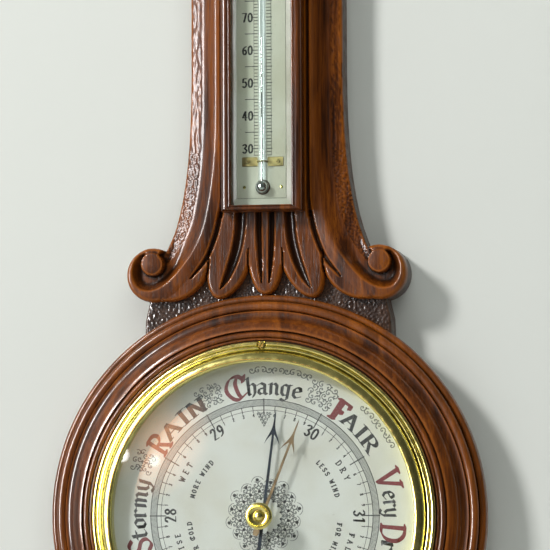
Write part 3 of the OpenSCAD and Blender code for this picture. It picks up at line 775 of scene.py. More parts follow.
def bezel():
    r = BEZEL.x1
    inner = 101
    profile = (
        [(LIP_R, REBATE), (r, REBATE)]
        + arc(r - 1.6, 43, 1.6, 0, 150, 8)
        + [(111.6, 43.2)]
        + arc(110.2, 43.5, 1.2, 20, 160, 6)
        + [(108.4, 43.4)]
        + curve((108, 44.3), (107.6, 46.8), (105, 48.5), (102.4, 48.4), 12)
        + curve((102.4, 48.4), (101.4, 48.2), (inner, 47.8), (inner, 46.5), 5)
        + [(LIP_R, 46.2)]
    )
    points, faces = turned(profile, segments=900)
    for angle in SCREW_ANGLES:
        s, c = compass(angle)
        off = np.hypot(points[:, 0] - SCREW_R * s, points[:, 2] - SCREW_R * c)
        sunk = (off < 2.75) & (points[:, 1] > 43)
        points[sunk, 1] = SINK_D
    obj = piece("turned_bezel", points, faces, BRASS, "brass", replaces=["bezel"])
    return mark_wear(obj, 1)


def slotted_head(x, z, r, d0, d1, turn):
    """A cheese head with a slot, as two half discs joined by the floor of the slot."""
    slot, floor = r * 0.17, d1 - min(r * 0.6, (d1 - d0) * 0.6)
    half = [(r * math.cos(math.radians(a)), r * math.sin(math.radians(a))) for a in range(10, 171, 16)]
    low = math.radians(10)
    half = [(r * math.cos(low), slot)] + half[1:-1] + [(-r * math.cos(low), slot)]
    c, s = math.cos(math.radians(turn)), math.sin(math.radians(turn))
    parts = []
    for side in (1, -1):
        outline = [(x + (u * c - side * v * s), z + (u * s + side * v * c)) for u, v in half]
        parts.append(bevelled(outline, floor - 0.05, d1, 0.2))
    disc = [(x + r * math.cos(math.radians(a)), z + r * math.sin(math.radians(a))) for a in range(0, 360, 12)]
    parts.append(prism(disc, d0, floor))
    return joined(*parts)


def bezel_screws():
    heads = []
    for angle, turn in zip(SCREW_ANGLES, (62, 15, 130)):
        s, c = compass(angle)
        heads.append(slotted_head(SCREW_R * s, SCREW_R * c, 2.0, SINK_D, SINK_D + 3, turn))
    piece("bezel_screw_heads", *joined(*heads), BRASS, "brass", replaces=["bezel_screws"])


def dial_glazing():
    profile = [
        (3.4, GLASS.d0), (GLASS.x1, GLASS.d0), (GLASS.x1, GLASS.d1 - 1.1),
        (LIP_R - 16.8, GLASS.d1 - 0.02), (LIP_R - 17.2, GLASS.d1), (3.4, GLASS.d1),
    ]
    piece("bevelled_dial_glass", *turned(profile, segments=256), DIAL_GLASS, "glass",
          replaces=["dial_glass"], crease=3)


def glass_ring():
    ring = extent("glass_ring")
    inner, outer = ring.x1 - 2.1, ring.x1
    profile = (
        [(inner + 0.4, ring.d0), (outer, ring.d0), (outer, ring.d1), (inner + 0.5, ring.d1)]
        + arc(inner + 0.5, ring.d1 - 0.5, 0.5, 90, 180, 4)
        + [(inner + 0.4, ring.d1 - 1.4)]
    )
    piece("glass_seat_ring", *turned(profile, segments=256), BRASS, "brass", replaces=["glass_ring"])


def set_knob():
    knob = extent("set_knob")
    r = knob.x1 - 0.1
    profile = (
        [(0, knob.d0), (1.5, knob.d0), (1.5, 48), (4.4, 48)]
        + curve((4.4, 48), (3.6, 51.4), (5, 53.6), (r, 55), 12)
        + curve((r, 55), (r + 0.4, 56.3), (r - 0.6, 57.2), (r - 1.8, 57.1), 8)
        + curve((r - 1.8, 57.1), (r - 2.6, 55.6), (4.8, 54.9), (3.6, 55.1), 10)
        + [(3.4, 55.4)]
        + curve((3.4, 55.4), (2.6, 56.7), (1.4, 57), (0, 57.05), 8)
    )
    points, faces = turned(profile, segments=96)
    knurl = np.hypot(points[:, 0], points[:, 2])
    angle = np.arctan2(points[:, 0], points[:, 2])
    rim = np.clip(1 - np.abs(points[:, 1] - 55.6) / 0.9, 0, 1) * (knurl > r - 1)
    points[:, (0, 2)] *= (1 - 0.006 * rim * (1 + np.cos(48 * angle)))[:, None]
    obj = piece("dished_set_knob", points, faces, BRASS, "brass", "set_hand_unit",
                replaces=["set_knob"], crease=50)
    mark_wear(obj, 2)


def hand_outline(length, tail):
    """A slender hand with two swept flukes below its point, before it is turned to its angle."""
    barb = length - 23
    return mirrored(
        [(0, length), (0.4, length - 4), (0.6, length - 9)]
        + curve((0.6, length - 9), (0.9, barb + 8), (3.4, barb + 6), (5, barb), 10)
        + curve((5, barb), (3.2, barb + 3.6), (1.6, barb + 5.2), (0.75, barb + 6.4), 10)[1:]
        + [(0.75, barb), (1.0, 4), (1.2, 6 - tail), (2.2, 3 - tail), (1.5, 0.1 - tail), (0, 0.1 - tail)]
    )


def turned_outline(outline, angle):
    s, c = compass(angle)
    return [(u * c + v * s, v * c - u * s) for u, v in outline]


def dial_hand(name, node, body, angle, length, tail, bore, material, slot):
    """A hand with its boss, turned to the angle that the CAD hand shows."""
    box = extent(node)
    outline = turned_outline(hand_outline(length, tail), angle)
    blade = bevelled(outline, box.d0, box.d1, 0.08)
    boss = turned(
        [(bore, box.d0), (4, box.d0), (4, box.d1 - 0.2), (3.8, box.d1), (bore, box.d1)], segments=48
    )
    piece(name, *joined(blade, boss), material, slot, body, [node], 30)


bezel()
bezel_screws()
dial_glazing()
glass_ring()
set_knob()
dial_hand("blued_hand", "indicating_hand", "hand_unit", 7.3, 70.5, 32, 1.2, BLUED, "blued_steel")
dial_hand("brass_hand", "set_hand", "set_hand_unit", 21.5, 68, 14, 1.5, HAND_BRONZE, "brass")

# ---- Lettering -------------------------------------------------------------

# Pen strokes for each sign, as x,y in hundredths of its height. Signs in ROUND are smoothed.
ROUND = set("0235689CDRSOage")
SIGNS = {
    "0": "25,100 7,75 7,25 25,0 43,25 43,75 25,100",
    "1": "8,80 24,100 24,0",
    "2": "7,74 20,99 38,90 40,66 8,3 / 8,3 46,3",
    "3": "6,86 25,100 42,80 22,54 / 22,54 45,30 25,0 5,16",
    "4": "36,0 36,100 4,30 48,30",
    "5": "42,98 12,98 8,56 / 8,56 30,64 45,34 26,0 5,12",
    "6": "40,92 14,70 6,30 25,0 43,25 30,56 10,40",
    "7": "6,97 45,97 20,0",
    "8": "25,54 8,76 25,100 42,76 25,54 5,26 25,0 45,26 25,54",
    "9": "42,60 22,42 7,70 25,100 43,70 36,25 12,4",
    "A": "0,0 30,100 62,0 / 10,34 50,34 / -6,0 10,0 / 50,0 70,0",
    "C": "80,80 58,100 24,90 4,50 22,12 52,0 84,20 / 60,100 46,72 50,30 62,4 / 84,98 78,72",
    "D": "12,0 12,100 / 2,100 38,98 62,72 62,28 38,2 2,0",
    "E": "12,0 12,100 / 2,100 52,100 / 12,52 42,52 / 2,0 54,0",
    "F": "14,0 14,100 / 2,98 60,98 62,80 / 14,52 44,52 44,40 / 0,2 30,2 / 26,10 26,90",
    "I": "14,0 14,100 / 2,100 28,100 / 2,0 28,0",
    "L": "12,100 12,0 / 2,0 50,0 52,18",
    "M": "6,0 10,100 / 10,100 36,20 62,100 / 62,100 66,0",
    "N": "10,0 10,100 / 2,100 14,100 56,0 / 58,0 58,100 / 48,100 68,100 / 2,0 20,0",
    "O": "30,100 6,76 6,24 30,0 54,24 54,76 30,100",
    "R": "12,0 12,100 / 2,100 42,98 56,76 42,54 14,50 / 30,50 62,2 / 0,0 26,0 / 54,0 74,0",
    "S": "56,84 34,100 10,86 14,62 48,42 54,16 30,0 4,16",
    "T": "30,0 30,100 / 2,84 4,100 56,100 58,84",
    "V": "6,100 32,0 62,100 / -4,100 18,100 / 52,100 72,100",
    "W": "2,100 20,0 38,80 56,0 74,100",
    "Y": "2,100 30,50 58,100 / 30,50 30,0",
    "a": "4,54 18,64 34,54 34,6 44,0 / 34,36 10,30 6,12 16,0 34,12",
    "e": "6,30 36,42 30,60 18,62 6,46 6,12 20,0 38,12",
    "g": "34,56 16,64 6,50 6,14 16,0 34,10 / 34,64 34,-16 20,-30 4,-20 / 34,60 44,64",
    "h": "8,100 8,4 14,0 / 8,48 26,64 36,52 36,10 26,-12 / 0,92 8,100",
    "m": "0,58 8,64 8,0 / 8,50 22,64 30,54 30,0 / 30,50 44,64 54,52 54,6 62,0",
    "n": "0,58 8,64 8,0 / 8,50 24,64 34,52 34,6 42,0",
    "o": "20,64 6,50 6,12 20,0 34,12 34,50 20,64",
    "r": "0,58 8,64 8,0 14,0 / 8,50 22,64 32,54",
    "t": "10,86 10,8 20,0 30,8 / -2,60 28,62",
    "y": "4,64 8,14 18,0 34,14 / 34,64 34,-6 20,-30 2,-20",
    " ": "",
}
WIDE_SPACE = 0.3


def hull(points):
    """The convex outline round some points."""
    points = sorted(set(points))

    def half(order):
        chain = []
        for q in order:
            while len(chain) > 1 and (
                (chain[-1][0] - chain[-2][0]) * (q[1] - chain[-2][1])
                - (chain[-1][1] - chain[-2][1]) * (q[0] - chain[-2][0])
            ) <= 1e-9:
                chain.pop()
            chain.append(q)
        return chain[:-1]

    return half(points) + half(points[::-1])


def pen(line, width, thin, slope):
    """The marks of a broad pen, its edge held at a slope, drawn along a line."""
    a = math.radians(slope)
    e = (width / 2 * math.cos(a), width / 2 * math.sin(a))
    f = (-thin / 2 * math.sin(a), thin / 2 * math.cos(a))
    nib = [(i * e[0] + j * f[0], i * e[1] + j * f[1]) for i in (-1, 1) for j in (-1, 1)]
    return [
        hull([(round(p[0] + n[0], 4), round(p[1] + n[1], 4)) for p in (start, end) for n in nib])
        for start, end in zip(line, line[1:])
    ]


def strokes(sign):
    """A sign's strokes as lists of points, one unit high."""
    return [
        [tuple(int(n) / 100 for n in point.split(",")) for point in stroke.split()]
        for stroke in SIGNS[sign].split("/")
    ]


def lettering(text, height, width, thin, slope, spacing, smooth=True):
    """Marks for a line of text, centred on 0, with the width that it takes."""
    marks, at = [], 0
    for sign in text:
        lines = strokes(sign)
        for line in lines:
            points = smooth_line(line, 4) if smooth and sign in ROUND and len(line) > 2 else line
            marks += pen([(at + x * height, y * height) for x, y in points], width, thin, slope)
        at += (max((x for line in lines for x, _ in line), default=WIDE_SPACE) + spacing) * height
    at -= spacing * height
    return [[(x - at / 2, y) for x, y in mark] for mark in marks], at


def bent(marks, angle, r, from_middle=0.0):
    """Marks wrapped round the dial, standing on a circle of radius r."""
    centre = math.radians(angle)
    made = []
    for mark in marks:
        outline = []
        for x, y in mark:
            a = centre + (x + from_middle) / (r + 4)
            outline.append(((r + y) * math.sin(a), (r + y) * math.cos(a)))
        made.append(outline)
    return made


def printed(name, marks, material, slot, d, thickness=0.05):
    """Marks of ink on a flat face at depth d, with slightly different heights where they cross."""
    parts = [prism(mark, d, d + thickness + 0.0004 * (i % 12)) for i, mark in enumerate(marks)]
    return piece(name, *joined(*parts), material, slot, crease=30)


def radial(angle, r0, r1, width):
    """A straight mark across the dial, from radius r0 to r1."""
    s, c = compass(angle)
    w = width / 2
    return [(r * s + k * w * c, r * c - k * w * s) for r, k in ((r0, -1), (r1, -1), (r1, 1), (r0, 1))]


def circle_marks(r, width, start, end, step=3):
    """A circular line as short pieces."""
    marks = []
    for a in range(start, end, step):
        b = min(a + step, end)
        corners = ((a, r - width / 2), (a, r + width / 2), (b, r + width / 2), (b, r - width / 2))
        marks.append([(q * compass(t)[0], q * compass(t)[1]) for t, q in corners])
    return marks


def curl(x, z, size, heading, hand, turns=1.35, width=0.28):
    """A scroll that winds in to a round dot."""
    steps = 18
    line = []
    for i in range(steps + 1):
        t = i / steps
        a = math.radians(heading) + hand * t * turns * 2 * math.pi
        r = size * (1 - t) ** 0.8
        line.append((x + r * math.cos(a), z + r * math.sin(a)))
    dot = [(x + 0.17 * size * math.cos(k * math.pi / 4), z + 0.17 * size * math.sin(k * math.pi / 4))
           for k in range(8)]
    return pen(line, width, width, 0) + [dot]


# ---- Dial ------------------------------------------------------------------

PER_INCH = 60
LOW_END, HIGH_END = -156, 126


def inch_angle(inches):
    return (inches - 29.5) * PER_INCH


def dial_scale():
    """The divided ring: hundredths in the track, tenths inside it, and the inches."""
    track_in, track_out, inner = 72.3, 76.5, 69.5
    marks = circle_marks(track_out, 0.45, LOW_END, HIGH_END)
    marks += circle_marks(track_in, 0.42, LOW_END, HIGH_END)
    marks += circle_marks(inner, 0.3, LOW_END, HIGH_END)
    first, last = round(LOW_END / 6), round(HIGH_END / 6)
    for tenth in range(first, last + 1):
        angle = tenth * 6
        digit = (tenth + 5) % 10
        if digit in (0, 5):
            marks.append(radial(angle, 66, 77.2, 0.7))
        else:
            marks.append(radial(angle, 68, track_in, 0.45))
            small, _ = lettering(str(digit), 2.3, 0.55, 0.25, 0, 0.1)
            marks += bent(small, angle, 65.2)
    printed("dial_divisions", marks, BLACK_INK, "dial_enamel", CARD.d1)
    hundredths = [
        radial(LOW_END + 0.6 * i, track_in, track_out, 0.4)
        for i in range(round((HIGH_END - LOW_END) / 0.6) + 1)
    ]
    printed("dial_hundredths", hundredths, GREY_INK, "dial_enamel", CARD.d1, 0.03)


def dial_numbers():
    marks = []
    for inches in (27, 28, 29, 30, 31):
        number, _ = lettering(str(inches), 7.6, 1.35, 0.42, 8, 0.2)
        marks += bent(number, inch_angle(inches), 59.4)
    for text, angle, r, height, spacing in (
        ("WET", -61.5, 58.2, 3.8, 0.85), ("MORE WIND", -60.3, 48.3, 3.0, 0.56),
        ("DRY", 60.6, 58.6, 3.8, 0.85), ("LESS WIND", 60.5, 48.8, 3.0, 0.56),
        ("RISE", -109, 58, 3.4, 0.8), ("FOR COLD", -109, 49, 3.0, 0.56),
        ("FALL", 109, 58, 3.4, 0.8), ("FOR MILD", 109, 49, 3.0, 0.56),
    ):
        small, _ = lettering(text, height, 0.72, 0.42, 20, spacing)
        marks += bent(small, angle, r)
    printed("dial_numbers", marks, BLACK_INK, "dial_enamel", CARD.d1)


def dial_words():
    """The weather words. Each starts with a tall red letter."""
    black, red = [], []
    for text, start, end, caps in (
        ("Change", -17.5, 17.2, False), ("RAIN", -59.3, -28.5, True), ("FAIR", 33.4, 60.3, True),
        ("Very", 70.6, 90, False), ("Dry", 94, 112, False), ("Stormy", -106.7, -74.4, False),
    ):
        r = 80
        first_h, rest_h = (14, 9.6) if caps else (15.5, 11.5)
        slope = 14 if caps else 38
        initial, first_w = lettering(text[0], first_h, 2.5, 0.9, 32, 0.1)
        others, rest_w = lettering(text[1:], rest_h, 1.7, 0.42, slope, 0.16 if caps else 0.1, caps)
        room = math.radians(end - start) * (r + 4)
        squeeze = (room - first_w - 1.2) / rest_w
        others = [[(x * squeeze, y) for x, y in mark] for mark in others]
        red += bent(initial, start, r - 1.8, first_w / 2)
        black += bent(others, end, r, -rest_w * squeeze / 2)
    printed("dial_words", black, BLACK_INK, "dial_enamel", CARD.d1)
    printed("dial_initials", red, RED_INK, "dial_enamel", CARD.d1)


def disc(x, z, radius, corners=8):
    return [
        (x + radius * math.cos(math.tau * k / corners), z + radius * math.sin(math.tau * k / corners))
        for k in range(corners)
    ]


def rosette():
    """A wreath of paired scrolls round the arbor, edged with scallops, and the dots in it."""
    marks, dots = [], []
    count = 16
    for k in range(count):
        bearing = 360 / count * (k + 0.5)
        s, c = compass(bearing)
        reach = 24.6 if k % 2 else 22.8
        for hand in (1, -1):
            for r, off, size in ((12.8, 1.5, 1.6), (16.6, 2.1, 2.3), (20.8, 1.8, 2.2)):
                x, z = r * s + hand * off * c, r * c - hand * off * s
                marks += curl(x, z, size, 90 - bearing, hand, 1.2, 0.55)
            for r, off, size in ((14.6, 3.1, 1.1), (18.9, 3.9, 1.2)):
                x, z = r * s + hand * off * c, r * c - hand * off * s
                marks += curl(x, z, size, 270 - bearing, -hand, 1.0, 0.42)
        scallop = [
            (x * c + (reach - 2 + y) * s, (reach - 2 + y) * c - x * s) for x, y in arc(0, 0, 4.4, 20, 160, 10)
        ]
        marks += pen([(x * 0.97, z * 0.97) for x, z in scallop], 0.3, 0.3, 0)
        for r, size in ((11.2, 0.8), (16.4, 1.1), (reach - 0.6, 1.2)):
            dots.append(disc(r * s, r * c, size))
    return marks, dots


def dial_ornament():
    """The grey rosette round the arbor, the scrolls among the words and the tassel at the top."""
    marks, dots = rosette()
    groups = (
        (-31, -19.6, 80, 94, 4, 5), (19.6, 32, 80, 96, 4, 5), (-6, 20, 94, 98, 11, 1),
        (42, 63, 94.5, 98.5, 9, 1), (-71.5, -62, 82, 96, 3, 5), (113, 122, 80, 94, 3, 5),
        (-119, -109, 80, 94, 3, 5),
    )
    for start, end, r0, r1, across, rows in groups:
        for i in range(across):
            for j in range(rows):
                shift = 0.3 * (j % 2)
                s, c = compass(start + (end - start) * (i + 0.5 + shift) / across)
                r = r0 + (r1 - r0) * (j + 0.5) / rows
                size = min(2.3, (r1 - r0) / rows * 0.7)
                hand = 1 if (i + j) % 2 else -1
                x, z = r * s, r * c
                marks += curl(x, z, size, 90 * j + 60 * i, hand, 1.1, 0.5)
                if (i + j) % 3 == 0:
                    dots.append(disc(x + size, z, 0.5))
    for row, across in enumerate((5, 4, 3, 2, 1)):
        z = 67.4 - 1.9 * row
        for i in range(across):
            x = (i - (across - 1) / 2) * 2.1
            marks += curl(x, z, 1.0, 90 + 60 * i, 1 if i % 2 else -1, 1.0, 0.42)
            dots.append(disc(x, z - 0.9, 0.34))
    printed("dial_scrollwork", marks, GREY_INK, "dial_enamel", CARD.d1, 0.03)
    printed("dial_dots", dots, BLACK_INK, "dial_enamel", CARD.d1, 0.04)


dial_scale()
dial_numbers()
dial_words()
dial_ornament()

# ---- Thermometer -----------------------------------------------------------

TUBE_X = (TUBE.x0 + TUBE.x1) / 2
TUBE_D = (TUBE.d0 + TUBE.d1) / 2
BULB_R = (TUBE.x1 - TUBE.x0) / 2
BULB_Z = TUBE.z0 + BULB_R
TUBE_R = 2.7
THIRTY_Z = 243.4
TEN_DEGREES = 22


def box_moulding():
    """Four mitred rails, the end ones narrower, with a rounded front and an inner quirk."""
    half = BOX.x1
    inner = half - RAIL_WIDTH
    r = RAIL_WIDTH / 2
    front = BOX.d1
    profile = (
        [(half, BOX.d0), (half, front - r)]
        + arc(half - r * 0.8, front - r * 0.95, r * 0.8, 0, 55, 6)[1:]
        + arc(half - r * 0.95, front - r, r, 62, 105, 5)
        + [(inner + 2.6, front - 0.35), (inner + 2.35, front - 0.85), (inner + 2.1, front - 0.45)]
        + arc(inner + 1.15, front - 1.35, 1.1, 45, 180, 6)
        + [(inner, BOX_GLASS.d1), (inner + 1.8, BOX_GLASS.d1), (inner + 1.8, BOX_GLASS.d0), (inner, SCALE.d1),
           (inner, BOX.d0)]
    )
    gap = 0.06
    n = len(profile)
    parts = []
    corners = [(-1, -1), (1, -1), (1, 1), (-1, 1)]
    for k in range(4):
        rings = []
        for sx, sz in (corners[k], corners[(k + 1) % 4]):
            ring = [(sx * u, d, BOX_MIDDLE + sz * (BOX_HALF - (half - u) * END_SHARE)) for u, d in profile]
            rings.append(np.array(ring))
        along = rings[1][0] - rings[0][0]
        along /= np.linalg.norm(along)
        points = np.concatenate([rings[0] + gap * along, rings[1] - gap * along])
        parts.append((points, band(0, n) + [tuple(range(n)), tuple(range(n, 2 * n))]))
    piece("box_moulding", *joined(*parts), TURNED_OAK, "oak", replaces=["thermometer_frame"], crease=25)


def box_glazing():
    """Glass with a bevel all round, under the lip of the moulding. The right bevel reflects more, a painted
    glint; the left bevel and the arris are tinted darker, painted shade.
    """
    g = BOX_GLASS
    bevel = 5.4
    rings = []
    for inset, d in ((0, g.d0), (0, g.d1 - 0.9), (bevel - 0.6, g.d1 - 0.1), (bevel, g.d1)):
        rings += [(x, d, z) for x, z in (
            (g.x0 + inset, g.z0 + inset), (g.x1 - inset, g.z0 + inset),
            (g.x1 - inset, g.z1 - inset), (g.x0 + inset, g.z1 - inset),
        )]
    faces = [(0, 1, 2, 3), (12, 13, 14, 15)] + band(0, 4) + band(4, 4) + band(8, 4)
    obj = piece("bevelled_box_glass", rings, faces, BOX_GLAZING, "glass",
                replaces=["thermometer_glass"], crease=3)
    for material in (PAINTED_SHADE_BEVEL, PAINTED_GLINT_BEVEL, PAINTED_SHADE_ARRIS):
        obj.data.materials.append(material)
    for face in obj.data.polygons:
        ring = min(face.vertices) // 4
        on_right = min(rings[i][0] for i in face.vertices) > 0
        # The right bevel gets the bright copy and the left the dark one: painted glint and painted shade.
        if ring == 1:
            face.material_index = 2 if on_right else 1
        elif ring == 2:
            face.material_index = 3


def tube():
    """The stem with its round bulb, and the mercury in it."""
    top = TUBE.z1
    neck = math.degrees(math.acos(TUBE_R / BULB_R))
    profile = (
        [(0, BULB_Z - BULB_R)]
        + arc(0, BULB_Z, BULB_R, -80, neck, 14)
        + [(TUBE_R, BULB_Z + BULB_R * math.sin(math.radians(neck)) + 1)]
        + [(TUBE_R, top - TUBE_R)]
        + arc(0, top - TUBE_R, TUBE_R, 10, 80, 6)
        + [(0, top)]
    )
    piece("glass_tube", *upright(profile, TUBE_X, TUBE_D), TUBE_GLASS, "glass", replaces=["thermometer_tube"])
    column = extent("mercury").z1
    r = BULB_R - 0.65
    start = math.degrees(math.acos(0.45 / r))
    inside = (
        [(0, BULB_Z - r)]
        + arc(0, BULB_Z, r, -80, start, 14)
        + [(0.45, BULB_Z + r), (0.45, column - 0.3), (0.3, column), (0, column)]
    )
    piece("mercury_thread", *upright(inside, TUBE_X, TUBE_D), MERCURY, "mercury", replaces=["mercury"])
    half = TUBE_R - 0.4
    low = BULB_Z + BULB_R + 1
    back = [(TUBE_X - half, low), (TUBE_X + half, low), (TUBE_X + half, top - 4), (TUBE_X - half, top - 4)]
    printed("tube_backing", [back], WHITE, "scale", SCALE.d1, 0.08)


def clip():
    """Two brass tabs and the wire that ties the tube down between them."""
    z = (CLIP.z0 + CLIP.z1) / 2
    half_h = (CLIP.z1 - CLIP.z0) / 2
    parts = []
    for side in (-1, 1):
        x = TUBE_X + side * 8.7
        outline = []
        for cx, cz, a in ((4.65, half_h - 0.7, 0), (-4.65, half_h - 0.7, 90),
                          (-4.65, 0.7 - half_h, 180), (4.65, 0.7 - half_h, 270)):
            outline += [(x + px, z + pz) for px, pz in arc(cx, cz, 0.6, a, a + 90, 4)]
        parts.append(bevelled(outline, SCALE.d1, SCALE.d1 + 0.6, 0.15))
        parts.append(slotted_head(x + side * 1.6, z, 1.3, SCALE.d1 + 0.5, SCALE.d1 + 1.1, 35 * side))
    ring = arc(0, 0, 1, 0, 360, 32)[:-1]
    wire = arc(0, 0, 0.38, 0, 360, 8)[:-1]
    points = [
        (TUBE_X + (TUBE_R + 0.55 + w) * a, TUBE_D + (TUBE_R + 0.55 + w) * b, z + h)
        for a, b in ring for w, h in wire
    ]
    parts.append((points, tube_faces(len(ring), len(wire), True, True)))
    piece("clip_and_wire", *joined(*parts), OLD_BRASS, "brass", replaces=["tube_clip"])


def scale_pins():
    pins = extent("scale_pins")
    r, face = 1.1, SCALE.d1
    dome = [(0, face), (r, face), (1.0, face + 0.25), (0.6, face + 0.45), (0, face + 0.5)]
    parts = [
        turned(dome, x, z, 20)
        for x in (TUBE_X - 12.5, TUBE_X + 12.5) for z in (pins.z0 + r, pins.z1 - r)
    ]
    piece("scale_pin_heads", *joined(*parts), BRASS, "brass", replaces=["scale_pins"])


def scale_marks():
    """Degrees beside the tube: ladders of fine lines, with the tens numbered on the left."""
    marks = []

    def line(x0, x1, z, width):
        w = width / 2
        marks.append([(x0, z - w), (x1, z - w), (x1, z + w), (x0, z + w)])

    low, high = 28, 120
    for degrees in range(low, high + 1):
        z = THIRTY_Z + (degrees - 30) / 10 * TEN_DEGREES
        five = degrees % 5 == 0
        line(TUBE_X - (6.4 if five else 5.7), TUBE_X - 2.8, z, 0.55 if five else 0.46)
        line(TUBE_X + 2.8, TUBE_X + (6.6 if five else 5.9), z, 0.55 if five else 0.46)
        if five and degrees % 10:
            line(TUBE_X - 11.8, TUBE_X - 6.4, z, 0.5)
        if degrees % 10 == 0:
            number, _ = lettering(str(degrees), 6.0, 1.2, 0.42, 8, 0.2)
            centre = TUBE_X - 10.3 - (1.6 if degrees > 99 else 0)
            marks.extend([[(x + centre, y + z - 3) for x, y in mark] for mark in number])
    z0, z1 = THIRTY_Z - 0.2 * TEN_DEGREES, THIRTY_Z + 9 * TEN_DEGREES
    for x in (TUBE_X - 5.8, TUBE_X + 5.8):
        marks.append([(x, z0), (x + 0.25, z0), (x + 0.25, z1), (x, z1)])
    printed("scale_degrees", marks, BLACK_INK, "scale", SCALE.d1)


box_moulding()
box_glazing()
tube()
clip()
scale_pins()
scale_marks()

# ---- Main spring -----------------------------------------------------------


def main_spring():
    """The leaf spring, doubled back on itself, between the bridge and the lever."""
    box = extent("main_spring")
    thick = 0.8
    mid = (box.d0 + box.d1) / 2
    r = (box.d1 - box.d0) / 2
    turn_x = box.x0 + r
    outline = [(x, box.d0) for x in np.linspace(-9, turn_x, 10)]
    outline += arc(turn_x, mid, r, 270, 90, 10)[1:-1]
    outline += [(x, box.d1) for x in np.linspace(turn_x, box.x1, 12)]
    outline += [(x, box.d1 - thick) for x in np.linspace(box.x1, turn_x, 12)]
    outline += arc(turn_x, mid, r - thick, 90, 270, 10)[1:-1]
    outline += [(x, box.d0 + thick) for x in np.linspace(turn_x, -9, 10)]
    points = [(x, d, z) for z in (box.z0, box.z1) for x, d in outline]
    _, faces = prism(outline, box.z0, box.z1)
    obj = piece("bent_main_spring", points, faces, BLUED, "blued_steel", None, ["main_spring"], 30)
    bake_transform(obj)


main_spring()

# ---- Finishes of the CAD parts that stay -----------------------------------

FINISHES = (
    (BACK_OAK, "backboard"),
    (BACK_BOARD, "rear_cover"),
    (ENAMEL, "dial_card"),
    (OPAL, "scale_plate"),
    (BRASS, "knob_bush"),
    (BLUED, "hairspring"),
    (CAPSULE, "capsule_lower capsule_upper"),
    (STEEL, "rear_cover_screws hand_arbor capsule_post main_lever link_rod rocking_arbor chain "
            "adjusting_screw"),
    (WORKS_BRASS, "hanger_plate hanger_screws dial_plate movement_pan base_plate pillars bridge "
                  "rocker_bearings arbor_bridge arbor_cock"),
)
for finish, nodes in FINISHES:
    for node in nodes.split():
        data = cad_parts[node].data
        data.materials.clear()
        data.materials.append(finish)

# ---- Studio ----------------------------------------------------------------

LENS = 200.3
CAMERA_PLACE = (0.368, -2.022, DIAL_Z + 0.0207)
CAMERA_TURN = (10.276, 3.91, -0.24)
LAMP_TARGET = (0, 0, DIAL_Z + 0.08)


def stage_plane(name, width, height, place, facing, material):
    """A flat stage sheet, facing +Z before it is turned."""
    mesh = bpy.data.meshes.new(name)
    w, h = width / 2, height / 2
    mesh.from_pydata([(-w, -h, 0), (w, -h, 0), (w, h, 0), (-w, h, 0)], [], [(0, 1, 2, 3)])
    mesh.materials.append(material)
    obj = placed(name, mesh)
    obj.location = place
    obj.rotation_euler = facing
    return obj


def area_light(name, place, width, height, power, colour):
    """A rectangular lamp that points at the neck's foot."""
    data = bpy.data.lights.new(name, "AREA")
    data.shape = "RECTANGLE"
    data.size = width
    data.size_y = height
    data.energy = power
    data.color = colour
    obj = placed(name, data)
    obj.location = place
    obj.rotation_euler = (Vector(LAMP_TARGET) - Vector(place)).to_track_quat("-Z", "Y").to_euler()
    return obj


def camera():
    """A long lens, to the right of the dial and a little above its centre, turned left."""
    data = bpy.data.cameras.new("camera")
    data.lens = LENS
    data.sensor_width = 36
    data.clip_start = 0.05
    obj = placed("camera", data)
    yaw, pitch, roll = (math.radians(a) for a in CAMERA_TURN)
    forward = Vector((
        -math.sin(yaw) * math.cos(pitch), math.cos(yaw) * math.cos(pitch), math.sin(pitch),
    ))
    right = Vector((math.cos(yaw), math.sin(yaw), 0))
    up = right.cross(forward)
    turn = (right * math.cos(roll) + up * math.sin(roll), up * math.cos(roll) - right * math.sin(roll))
    axes = Matrix((turn[0], turn[1], -forward)).transposed()
    obj.matrix_world = Matrix.Translation(CAMERA_PLACE) @ axes.to_4x4()
    bpy.context.scene.camera = obj


def glow(name, place, radius, colour, strength):
    """A soft round patch of light on the room's side, seen only in reflections."""
    s = Shader(name)
    s.tree.nodes.remove(s.surface)
    ball = s.add("ShaderNodeTexGradient", {"Vector": s.place}, gradient_type="SPHERICAL").outputs["Fac"]
    light = s.add("ShaderNodeEmission", {"Color": (*colour, 1), "Strength": strength})
    s.show_mixed(s.span(ball, 0, 0.6, 0, 1), s.add("ShaderNodeBsdfTransparent"), light)
    obj = stage_plane(name, 2, 2, place, (math.pi / 2, 0, 0), s.material)
    obj.scale = (radius, radius, radius)
    obj.visible_camera = False
    obj.visible_diffuse = False
    obj.visible_shadow = False
    obj.visible_transmission = False


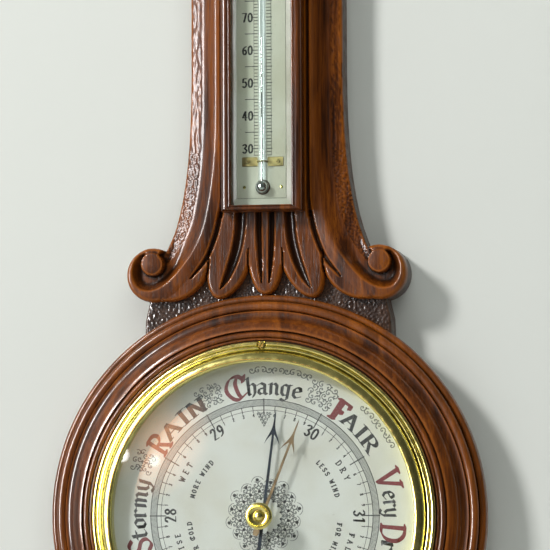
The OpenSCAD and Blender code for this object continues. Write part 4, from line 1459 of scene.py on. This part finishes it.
def wall():
    """A plain wall, seen from the room only, that casts and bounces nothing."""
    paint = Shader("wall_paint")
    paint.set(Base_Color=(0.72, 0.75, 0.71, 1), Roughness=0.9)
    behind = paint.add("ShaderNodeNewGeometry").outputs["Backfacing"]
    paint.show_mixed(behind, paint.surface, paint.add("ShaderNodeBsdfTransparent"))
    sheet = stage_plane("wall", 3.2, 3.4, (0, 0.0006, DIAL_Z + 0.3), (math.pi / 2, 0, 0), paint.material)
    sheet.visible_shadow = False
    sheet.visible_diffuse = False


def floor():
    paint = Shader("floor_paint")
    paint.set(Base_Color=(0.7, 0.7, 0.68, 1), Roughness=0.8)
    stage_plane("floor", 8, 8, (0, -1, DIAL_Z - 1.3), (0, 0, 0), paint.material)


def lamps():
    """A high lamp for the shadow, a window for the highlights, soft fill, and glows in the glass."""
    area_light("high_lamp", (-1.95, -2.1, DIAL_Z + 1.75), 0.55, 0.55, 78, (1, 0.98, 0.97))
    window = area_light("window_glint", (-2.3, -2.5, DIAL_Z + 0.5), 0.8, 1.5, 250, (1, 0.99, 1))
    window.visible_diffuse = False
    fill = area_light("ceiling", (0.7, -2.4, DIAL_Z + 1.8), 2.4, 2.4, 30, (0.97, 1, 0.97))
    fill.visible_glossy = False
    area_light("behind", (-1.2, 2.0, DIAL_Z + 0.8), 1.2, 1.2, 20, (1, 1, 1))
    glow("warm_door", (-0.62, -2.02, DIAL_Z + 0.16), 0.15, (1, 0.4, 0.14), 8)
    glow("lamp", (-0.587, -1.98, DIAL_Z + 0.093), 0.015, (1, 0.97, 0.9), 12)
    glow("bright_lamp", (-0.81, -2.0, DIAL_Z + 0.166), 0.03, (1, 0.98, 0.94), 40)


def room():
    """Light from all round, brighter from the left, from above and from beyond the wall."""
    world = bpy.data.worlds.new("room")
    bpy.context.scene.world = world
    n = Nodes(world)
    place = n.add("ShaderNodeTexCoord").outputs["Generated"]
    lean = n.add("ShaderNodeVectorMath", {0: place, 1: (-0.42, 0.28, 0.16)}, operation="DOT_PRODUCT")
    shade = n.ramp(
        n.span(lean.outputs["Value"], -0.5, 0.5, 0, 1),
        (0, (0.1, 0.105, 0.105)), (1, (1, 1.0, 0.97)), (0.5, (0.45, 0.47, 0.46)),
    )
    background = n.tree.nodes["Background"]
    n.tree.links.new(shade, background.inputs["Color"])
    background.inputs["Strength"].default_value = 0.36
    bpy.context.scene.view_settings.view_transform = "Standard"


wall()
floor()
lamps()
room()
camera()
